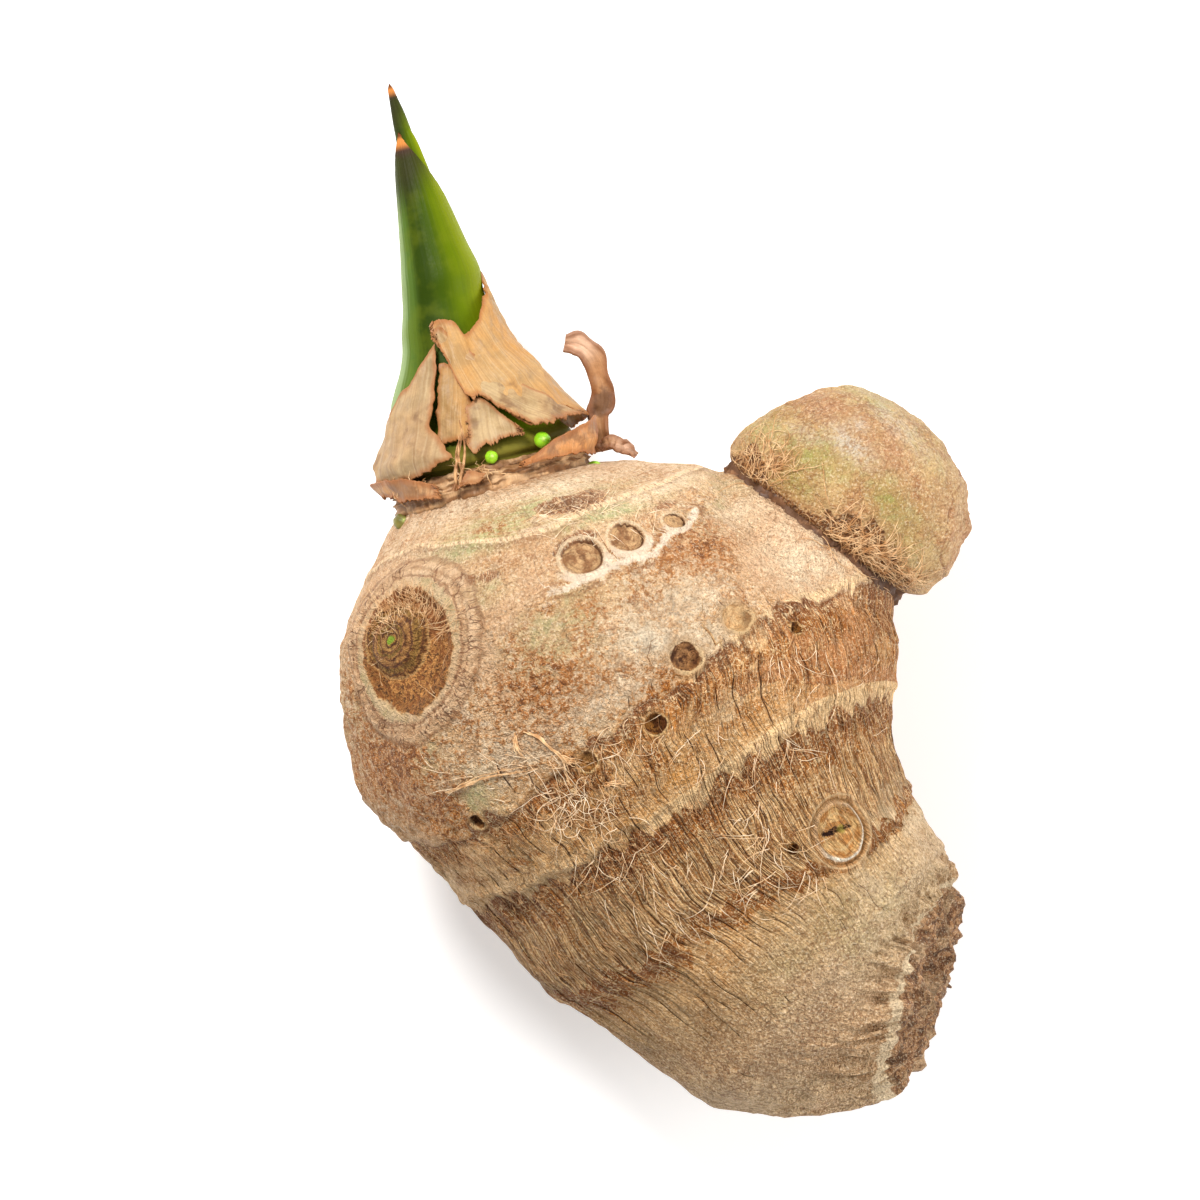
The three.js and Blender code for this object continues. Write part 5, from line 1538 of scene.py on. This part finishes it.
def papery_finish(name, shades):
    """Dry papery skin, in eight shades."""
    f = Finish(name)
    place = f.coordinates()
    cloud, _, dust = f.group(GRAIN, place=place)
    streaks = f.group(FIBRES, map=f.coordinates("UV"), spacing=1300, stretch=0.03)[0]
    fine = f.group(FIBRES, map=f.coordinates("UV"), spacing=3200, stretch=0.02)[0]
    golden, pink, dark, edge = f.four("tints")
    blotch = f.noise(place, 300, 4, 0.6, 0.5)
    f.color = f.tones(cloud, 0.35, 0.65, shades[0], shades[1])
    f.coat(f.times(golden, f.step(cloud, 0.35, 0.6, 0.7, 0.35)), shades[2])
    f.coat(f.times(pink, 0.55), shades[3])
    f.coat(f.step(streaks, 0.45, 0.68, 0.25), shades[4])
    f.coat(f.step(fine, 0.5, 0.7, 0.25), shades[4])
    f.coat(f.step(fine, 0.46, 0.34, 0.25), shades[5])
    shade = f.total(dark, f.swing(blotch, 2))
    f.coat(f.step(shade, 0.35, 0.9, 0.65), shades[6])
    ragged = f.total(edge, f.swing(blotch, 0.9))
    f.coat(f.step(ragged, 1.3, 0.1, 0.7), shades[7])
    f.coat(f.step(dust, 0.35, 0.7, 0, 0.1), (84, 50, 30))
    height = f.total(f.times(streaks, 0.2), f.times(fine, 0.12))
    height = f.total(height, f.total(f.times(cloud, 1.3), f.times(dust, 0.12)))
    return f.done(f.color, f.step(cloud, 0.35, 0.65, 0.68, 0.5), f.relief(height, 0.0005, 0.8), Specular_IOR_Level=0.4)


def collar_mesh():
    """Stacked frills of old leaf bases round the foot of the shoot."""
    outline = [
        (14.6, -0.9), (14.6, 3.8), (15.2, 4.15), (15.7, 4.1), (16.3, 3.5), (15.9, 3.2), (15.8, 2.9), (16.4, 2.65),
        (17, 2.35), (16.5, 2.1), (16.2, 1.75), (16.8, 1.45), (17.3, 1.15), (16.9, 0.9), (16.8, 0.4), (17, -0.2),
        (16.6, -0.9),
    ]
    mesh, co, radius, angle = spun_ring(outline, 300, 0)
    outer = smooth(radius, 14.8, 16)
    frill = 0.35 * np.sin(9 * angle) + 0.25 * np.sin(17 * angle + 2)
    ribs = 0.22 * flat_lumps(angle * 40, co[:, 1] * 0.6, 81) + 0.3 * flat_lumps(angle * 11, co[:, 1] * 1.5, 82)
    radius = radius + outer * (0.6 * frill + ribs)
    height = np.maximum(co[:, 1] + outer * 0.25 * flat_lumps(angle * 13, co[:, 1] * 2, 83), -1)
    place = columns(radius * np.cos(angle) - 0.1, height, radius * np.sin(angle))
    shade = flat_lumps(angle * 6, co[:, 1] * 2, 84)
    store_tints(mesh, 0.4 + 0.5 * shade, 0.3 - 0.3 * shade, 0.7 + 0.6 * shade, 0 * shade + 4)
    store_uv(mesh, angle * 16 * MM, height * MM, 32 * math.pi * MM)
    put(mesh, on_shoot(place))
    return mesh


STRIP_THICKNESS = 0.6
# Dried strips, as rows of x, y, z, half width and the turn of the width from +Z.
STRIPS = {
    "curl_tall": dict(
        rows=[
            (19.6, 1.6, -1.6, 1.2, 80), (19.7, 4.5, -1.6, 1.5, 80), (20, 7.5, -1.2, 1.6, 80), (21.3, 9.9, -0.8, 2, 82),
            (22, 12.8, -0.5, 1.9, 85), (22, 16.2, 0, 2.1, 85), (21.1, 18.9, 0.5, 2.1, 85), (19.6, 20.4, 0.5, 1.9, 82),
            (17.8, 21.2, 0.5, 1.3, 80),
        ],
        size=(16, 120), pale=(0.6, 0.8), dark=(0.37, 0.09),
    ),
    "curl_low": dict(
        rows=[
            (18.9, 2.3, 1.5, 0.9, 80), (20.2, 2.9, 1.6, 1, 80), (21.6, 2.8, 1.6, 1.1, 75), (23.3, 1.5, 1.3, 1.2, 70),
            (24.9, -0.5, 1, 0.6, 70),
        ],
        size=(14, 60), pale=(0.2, 0.9), dark=(0.05, 0.1),
    ),
}


def strip_mesh(seed, rows, size, pale, dark):
    mesh, u, v = sheet(*size)
    table = [(i / (len(rows) - 1), *row) for i, row in enumerate(rows)]
    spine = along(table, v)
    run = unit(along(table, np.minimum(v + 0.01, 1))[:, :3] - along(table, np.maximum(v - 0.01, 0))[:, :3])
    turn = np.radians(spine[:, 4])[:, None]
    up = np.array([0, 0, 1.0])
    across = up * np.cos(turn) + np.cross(run, up) * np.sin(turn) + run * (run @ up)[:, None] * (1 - np.cos(turn))
    out = unit(np.cross(run, across))
    half = spine[:, 3] * (1 + 0.16 * flat_lumps(v * 9, np.sign(u - 0.5) * 3, seed))
    w = 2 * u - 1
    ripple = 0.3 * flat_lumps(v * 14, u * 3, seed + 1) + 0.4 * np.abs(w) ** 3 * flat_lumps(v * 7, np.sign(w), seed + 2)
    cup = 0.35 * half * (1 - w**2) + ripple
    place = spine[:, :3] + across * (half * w)[:, None] + out * cup[:, None]
    put(mesh, on_shoot(place))
    light = smooth(v, *pale)
    deep = bump(v - dark[0], dark[1])
    edge = np.minimum(u, 1 - u) * 2 * half
    store_tints(mesh, 0.5 - 0.5 * light, light * 1.6, 0.3 + 1.2 * deep - 0.6 * light, edge)
    store_uv(mesh, w * half * MM, v * 25 * MM)
    return mesh


# Green side buds at the foot of the shoot: place, radius, and how far each is drawn out along x.
BUDS = {
    "side_bud_1": ((10, 5.9, 13.4), 1.4, 1.0),
    "side_bud_2": ((0.9, 5.2, 16.5), 1.1, 1.0),
    "side_bud_3": ((-16.4, -1.7, 4.5), 1.6, 1.0),
    "side_bud_4": ((17.4, -0.7, 5), 1.1, 1.15),
}


def bud_mesh(seed, at, radius, long):
    mesh = ball(40, 28)[0]
    co = unit(places(mesh))
    point = 0.18 * bump(lengths(co - [0.2, 0.1, 0.97]), 0.25)
    fold = -0.07 * bump(co[:, 0] * 0.8 + co[:, 1] - 0.2, 0.07) * (co[:, 2] > -0.2)
    size = radius * (1 + point + fold + 0.03 * lumps(co, 0.5, seed))
    place = np.array(at) + co * size[:, None] * [long, 1, 1]
    store(mesh, point=point / 0.18)
    put(mesh, on_shoot(place))
    return mesh


def bud_finish(name, deep, light):
    f = Finish(name)
    cloud, specks, dust = f.group(GRAIN, place=f.coordinates())
    f.color = f.tones(cloud, 0.35, 0.62, deep, light)
    f.coat(f.times(f.field("point"), 0.6), (206, 222, 130))
    f.coat(f.times(specks, 0.15), (90, 110, 20))
    return f.done(
        f.color, f.step(dust, 0.3, 0.7, 0.42, 0.28), f.relief(dust, 0.0001, 0.4), Subsurface_Weight=0.15,
        Subsurface_Scale=0.002,
    )


# ---- Root hairs and loose fibres ----


def skin_tree(mesh):
    verts = places(mesh)
    faces = [tuple(p.vertices) for p in mesh.polygons]
    return BVHTree.FromPolygons([Vector(v) for v in verts], faces)


def surface(tree, x, y):
    """The height of the highest face above a place, in millimetres, or None beside the body."""
    hit = tree.ray_cast(Vector((x * MM, y * MM, 0.2)), Vector((0, 0, -1)))[0]
    return hit.z / MM if hit else None


def strand(rng, tree, x, y, heading, length, rise, wander, steps=8):
    """A fibre that starts on the skin and lies over it, lifting by rise in its middle."""
    points, bend = [], rng.uniform(-wander, wander)
    height = surface(tree, x, y)
    for k in range(steps + 1):
        t = k / steps
        ground = surface(tree, x, y)
        if ground is None or height is None:
            break
        height = max(ground, height - length / steps * 0.9)
        points.append((x, y, height - 0.05 + rise * math.sin(math.pi * min(t * 1.1 + 0.05, 1))))
        heading += bend / steps + rng.normal(0, wander * 0.35) / math.sqrt(steps)
        x += math.cos(heading) * length / steps
        y += math.sin(heading) * length / steps
    return points


def hair_mesh(strands, thickness):
    """Strands as fine tapered tubes."""
    curve = bpy.data.curves.new("strands", "CURVE")
    curve.dimensions = "3D"
    curve.bevel_depth = thickness * MM
    curve.bevel_resolution = 0
    curve.use_fill_caps = True
    for points in strands:
        if len(points) < 3:
            continue
        spline = curve.splines.new("POLY")
        spline.points.add(len(points) - 1)
        for k, (point, at) in enumerate(zip(spline.points, points)):
            point.co = (*(c * MM for c in at), 1)
            point.radius = 1 - 0.75 * k / (len(points) - 1)
    holder = linked("strands", curve)
    bpy.context.view_layer.update()
    mesh = bpy.data.meshes.new_from_object(holder)
    bpy.data.objects.remove(holder)
    bpy.data.curves.remove(curve)
    return mesh


def hair_piece(name, strands, thickness, slot, finish):
    return piece(name, hair_mesh(strands, thickness), slot, finish)


def neck_husk_mesh():
    """The torn husk that fills the crease between the corm and the cormel."""
    outline = [
        (12, 0.6), (15, 1.4), (17, 2.2), (18.1, 2.5), (18.5, 1.4), (18.3, -0.4), (17.8, -2.4), (17, -4.4), (15, -4),
        (12, -2),
    ]
    mesh, co, radius, angle = spun_ring(outline, 260, 2)
    ribs = 0.6 * flat_lumps(angle * 40, co[:, 1] * 0.9, 85) + 0.5 * flat_lumps(angle * 9, co[:, 1] * 0.6, 86)
    radius = radius - 0.5 + smooth(radius, 14, 18) * ribs
    place = columns(
        radius * np.cos(angle) + 0.5, co[:, 1] + 0.4 * flat_lumps(angle * 20, radius, 87),
        0.95 * radius * np.sin(angle),
    )
    shade = flat_lumps(angle * 8, co[:, 1], 88)
    store_tints(mesh, 0.2 + 0.2 * shade, 0 * shade, 1 + 0.5 * shade, 0 * shade + 4)
    store_uv(mesh, angle * 18 * MM, co[:, 1] * MM, 36 * math.pi * MM)
    put(mesh, turned(place, CORMEL_TURN, SHOULDER))
    return mesh


def hair_finish(name, deep, light):
    f = Finish(name)
    shade = f.noise(f.coordinates(), 500, 2, 0.6)
    f.color = f.tones(shade, 0.35, 0.65, deep, light)
    return f.done(f.color, f.step(shade, 0.3, 0.7, 0.7, 0.5), None, Specular_IOR_Level=0.3)


# Tufts as x, y, spread in x and y, heading and its spread in degrees, length and its spread, rise, wander, how many.
ROOT_TANGLE = [
    (-14, -34, 4.5, 3, 200, 180, 6, 2.5, 1.3, 2.8, 44), (-9, -38, 6, 3, 180, 180, 5, 2, 1, 2.5, 20),
    (-18, -26, 6, 2, 330, 25, 9, 3, 0.7, 0.8, 12), (-2, -24, 8, 3, 250, 60, 5, 2, 0.8, 1.6, 22),
    (-27, -30, 8, 3, 190, 40, 6, 2, 0.6, 1, 12),
]
LOOSE_FIBRES = [
    (20, -40, 6, 5, 250, 70, 6, 3, 1.3, 1.6, 26), (16, -48, 8, 5, 260, 60, 6, 3, 0.9, 1.3, 22),
    (27, -11, 9, 4, 260, 50, 5, 2, 0.8, 1.3, 20), (-3, -45, 12, 4, 255, 50, 5, 2, 0.7, 1.1, 24),
    (5, -55, 10, 5, 300, 50, 5, 2, 0.6, 1, 20), (-12, 14, 14, 3, 20, 60, 5, 2, 0.3, 1, 40),
    (20, -24, 8, 6, 280, 60, 5, 2, 0.7, 1.2, 20),
]

# Torn ribbons of fibre that lie on the skin, as the places that each runs through.
RIBBONS = [
    [(-35.1, -32.8), (-32.1, -31.5), (-28.5, -30), (-23.6, -29.1), (-19.4, -28.5)],
    [(-23.6, -21.9), (-20, -22.8), (-17.6, -24.9), (-15.5, -26.7), (-14.6, -29.7), (-13.3, -32.1)],
    [(-23.6, -21.9), (-23, -24.9), (-21.8, -26.4)],
    [(-8.8, -31.2), (-6.5, -31), (-4.9, -31.5)],
    [(-16.5, -26), (-14, -27.2), (-12.2, -27.3)],
]


def ribbons(rng, tree):
    made = []
    for line in RIBBONS:
        for _ in range(7):
            side, first = rng.normal(0, 0.35, 2), rng.uniform(0, 0.35)
            rows = [(k / (len(line) - 1), *at) for k, at in enumerate(line)]
            points = []
            for t in np.linspace(first, 1 - rng.uniform(0, 0.3), 14):
                x, y = along(rows, np.array([t]))[0] + side * (0.4 + t) + rng.normal(0, 0.07, 2)
                height = surface(tree, x, y)
                if height is not None:
                    points.append((x, y, height + 0.25 + 0.4 * math.sin(math.pi * t)))
            made.append(points)
    return made


def tufts(rng, tree, listed):
    made = []
    for x, y, sx, sy, heading, spread, length, vary, rise, wander, count in listed:
        for _ in range(count):
            made.append(
                strand(
                    rng, tree, x + rng.normal(0, sx * 0.6), y + rng.normal(0, sy * 0.6),
                    math.radians(heading + rng.uniform(-spread, spread)), max(1.5, rng.normal(length, vary)),
                    rise * rng.uniform(0.2, 1), wander, 10,
                )
            )
    return made


def fringe(rng, tree, at_ring, count, length, rise):
    """Short fibres that run on from a scar ring towards the base."""
    made = []
    for _ in range(count):
        angle = math.pi * rng.uniform(0.05, 0.95)
        ring = np.array([at_ring + rng.normal(0, 0.1)])
        a = corm_point(section_at(ring, np.array([angle])), np.array([angle]))[0]
        b = corm_point(section_at(ring + 0.2, np.array([angle])), np.array([angle]))[0]
        heading = math.atan2(b[1] - a[1], b[0] - a[0]) + rng.normal(0, 0.35)
        made.append(strand(rng, tree, a[0], a[1], heading, max(0.8, rng.normal(length, length * 0.4)), rise, 0.9, 5))
    return made


def crease_hairs(rng, tree, count):
    """Fibres that stand in the crease round the cormel's neck and lean over both sides of it."""
    made = []
    for _ in range(count):
        spot = rng.choice([-15, -12, 4, 8, 12, 16], p=[0.16, 0.14, 0.16, 0.2, 0.2, 0.14]) + rng.normal(0, 2.2)
        start = turned(
            np.array([[spot, rng.uniform(-0.5, 5) if spot > 0 or rng.uniform() < 0.5 else rng.uniform(0, 8), 0]]),
            CORMEL_TURN, SHOULDER,
        )[0]
        combed = math.radians(rng.normal(24, 16) if spot > 0 else rng.normal(122, 18))
        heading = CORMEL_TURN + (combed if rng.uniform() < 0.65 else math.radians(rng.uniform(-20, 165)))
        made.append(strand(rng, tree, start[0], start[1], heading, rng.uniform(2.5, 9), rng.uniform(0.1, 1.6), 2.2, 9))
    return made


def bud_hairs(rng, tree, count):
    """The fringe of the large bud scar: it stands on the dish's upper rim and leans both ways."""
    made = []
    for _ in range(count):
        angle = math.radians(rng.uniform(20, 160) if rng.uniform() < 0.85 else rng.uniform(-60, 230))
        reach = rng.uniform(0.82, 1.06)
        x = -41.4 + reach * math.cos(angle) * 7.6
        y = -8.8 + reach * math.sin(angle) * 9.6
        heading = angle + rng.normal(0.1, 0.45) + (math.pi if rng.uniform() < 0.6 else 0)
        made.append(strand(rng, tree, x, y, heading, rng.uniform(1.8, 5), rng.uniform(0.15, 0.9), 1.1, 6))
    return made


def collar_strands(rng, count):
    """Dry strands of old scales that cross from the collar to the scales' torn feet."""
    ways = [
        (rng.choice([82, 97, 128, 150]) + rng.normal(0, 5), rng.uniform(0.3, 3), rng.normal(0, 10), rng.uniform(1.5, 5))
        for _ in range(count)
    ]
    made = []
    for angle, height, sway, rise in ways:
        points = []
        for k in range(9):
            t = k / 8
            a = math.radians(angle + sway * t + rng.normal(0, 1.2))
            r = 17.6 + 0.9 * math.sin(math.pi * t)
            points.append((r * math.cos(a), height + rise * t, r * math.sin(a)))
        made.append([tuple(p) for p in on_shoot(np.array(points))])
    return made


# The old scale's twisted remains, as angle and height where each starts and ends.
TWIST = [(109, 1.6, 99.5, 11.6), (105.5, 1.8, 98, 12.6), (112, 1.2, 101, 9.4), (104, 2.4, 103, 10)]


def twisted_strips():
    made = []
    for k, (a, low, b, high) in enumerate(TWIST):
        points = []
        for t in np.linspace(0, 1, 14):
            angle = math.radians(a + (b - a) * t + 1.2 * math.sin(5 * t + 2 * k))
            r = 18.2 + 0.5 * math.sin(7 * t + k) - 0.5 * t
            points.append((r * math.cos(angle), low + (high - low) * t, r * math.sin(angle)))
        made.append([tuple(p) for p in on_shoot(np.array(points))])
    return made


# ---- Stage, light and camera, in metres ----

FLOOR_SIZE, FLOOR_HEIGHT = 4, -0.0003
SKY = 0.54  # the strength of the white all round
LAMPS = [  # name, place, what it aims at, size, power and colour
    ("key", (-0.3, 0.46, 0.72), (0, 0, 0.04), 0.24, 8.3, (1, 0.98, 0.96)),
    ("side", (0.75, -0.1, 0.5), (0, -0.02, 0.04), 0.5, 5.2, (1, 1, 1)),
]
LENS, SENSOR = 800, 36  # millimetres
FIELD = 0.204  # how much of the part's plane the picture shows
CENTRE = -0.00918  # where along X it is centred


def stage():
    bm = bmesh.new()
    bmesh.ops.create_grid(bm, x_segments=1, y_segments=1, size=FLOOR_SIZE)
    mesh = mesh_from(bm)
    for v in mesh.vertices:
        v.co.z = FLOOR_HEIGHT
    f = Finish("pale_floor")
    mesh.materials.append(f.done((0.9, 0.9, 0.9), 0.9, Specular_IOR_Level=0.1, Emission_Strength=0.3))
    f.shader.inputs["Emission Color"].default_value = (1, 1, 1, 1)
    floor = linked("floor", mesh)


def lamp(name, place, aim, size, power, color):
    data = bpy.data.lights.new(name, "AREA")
    data.shape = "DISK"
    data.size = size
    data.energy = power
    data.color = color
    obj = linked(name, data)
    obj.location = place
    obj.rotation_euler = (Vector(aim) - Vector(place)).to_track_quat("-Z", "Y").to_euler()


def lighting():
    world = bpy.data.worlds.new("studio")
    world.use_nodes = True
    world.node_tree.nodes["Background"].inputs[0].default_value = (1, 1, 1, 1)
    world.node_tree.nodes["Background"].inputs[1].default_value = SKY
    bpy.context.scene.world = world
    for row in LAMPS:
        lamp(*row)
    bpy.context.scene.view_settings.view_transform = "Standard"


def camera():
    data = bpy.data.cameras.new("camera")
    data.lens = LENS
    data.sensor_width = SENSOR
    obj = linked("camera", data)
    obj.location = (CENTRE, 0, AXIS_HEIGHT * MM + FIELD / SENSOR * LENS)
    bpy.context.scene.camera = obj


camera()
stage()
lighting()
corm = corm_mesh()
piece("corm_skin", corm, "corm_skin", corm_finish(), "corm")
cormel = cormel_mesh()
piece("cormel_skin", cormel, "cormel_skin", cormel_finish(), "cormel")

spear_green = leaf_finish("spear_green", SPEAR_TIP, 67.4, 69.4)
sheath_green = leaf_finish("sheath_green", 62.6, 57, 60.2)
rolled_green = leaf_finish("rolled_green", 90, 80, 85)
piece("spear", spear_mesh(), "leaf_green", spear_green, "shoot_spear")
piece("rolled_leaf", rolled_leaf_mesh(), "leaf_green", rolled_green)
thicken(piece("sheath", sheath_mesh(), "leaf_green", sheath_green, "shoot_sheath"), SHEATH_WALL)

PALE_PAPER = [
    (158, 130, 88), (190, 162, 118), (192, 138, 68), (172, 142, 108), (128, 92, 56), (206, 182, 146), (108, 74, 44),
    (156, 90, 36),
]
BROWN_HUSK = [
    (144, 106, 70), (176, 134, 92), (176, 112, 62), (224, 184, 154), (104, 66, 42), (204, 160, 120), (56, 32, 22),
    (128, 76, 42),
]
COLLAR_HUSK = [
    (180, 138, 92), (208, 168, 120), (206, 134, 62), (226, 190, 150), (140, 94, 56), (234, 200, 154), (98, 62, 36),
    (160, 96, 46),
]
NECK_HUSK = [
    (112, 76, 50), (152, 108, 74), (150, 100, 58), (190, 150, 112), (84, 54, 34), (204, 162, 118), (60, 36, 22),
    (96, 62, 38),
]
papery = papery_finish("papery_scale", PALE_PAPER)
husk = papery_finish("dry_husk", BROWN_HUSK)
frills = papery_finish("collar_frills", COLLAR_HUSK)
for seed, (name, shape) in enumerate(SCALES.items()):
    dry = name.startswith("collar")
    made = piece(
        name, scale_mesh(100 + 10 * seed, **shape), "husk_brown" if dry else "scale_papery", frills if dry else papery,
        name.removesuffix("_fold"),
    )
    thicken(made, SCALE_THICKNESS)
piece("leaf_bases", collar_mesh(), "husk_brown", frills, "leaf_base_collar")
for seed, (name, shape) in enumerate(STRIPS.items()):
    thicken(piece(name, strip_mesh(200 + 10 * seed, **shape), "husk_brown", husk, name), STRIP_THICKNESS, 0)
bud_green = bud_finish("bud_green", (112, 176, 14), (160, 214, 40))
bud_olive = bud_finish("bud_olive", (104, 98, 40), (142, 134, 62))
for seed, (name, shape) in enumerate(BUDS.items()):
    piece(name, bud_mesh(300 + seed, *shape), "bud_green", bud_olive if name == "side_bud_3" else bud_green, name)

rng = np.random.default_rng(7)
corm_tree, cormel_tree = skin_tree(corm), skin_tree(cormel)
pale_hair = hair_finish("pale_root_hair", (220, 178, 130), (250, 228, 196))
brown_hair = hair_finish("brown_fibre", (138, 90, 52), (212, 164, 114))
straw_hair = hair_finish("straw_fibre", (196, 144, 92), (240, 204, 156))
fringes = [(3.25, 260, 3, 0.35), (4.12, 240, 2.4, 0.3), (4.6, 160, 3.4, 0.25)]
hair_piece("root_tangle", tufts(rng, corm_tree, ROOT_TANGLE), 0.07, "corm_skin", pale_hair)
hair_piece("loose_fibres", tufts(rng, corm_tree, LOOSE_FIBRES), 0.07, "corm_skin", pale_hair)
hair_piece("ring_fringe", sum((fringe(rng, corm_tree, *row) for row in fringes), []), 0.06, "corm_skin", brown_hair)
hair_piece("bud_fringe", bud_hairs(rng, corm_tree, 170), 0.06, "corm_skin", straw_hair)
crease = crease_hairs(rng, cormel_tree, 330) + crease_hairs(rng, corm_tree, 150)
hair_piece("crease_fibres", crease, 0.09, "cormel_skin", straw_hair)
piece("neck_husk", neck_husk_mesh(), "cormel_skin", papery_finish("neck_fibre", NECK_HUSK))
hair_piece("collar_strands", collar_strands(rng, 14), 0.1, "husk_brown", straw_hair)
hair_piece("skin_ribbons", ribbons(rng, corm_tree), 0.13, "corm_skin", straw_hair)
hair_piece("collar_twist", twisted_strips(), 0.34, "husk_brown", brown_hair)
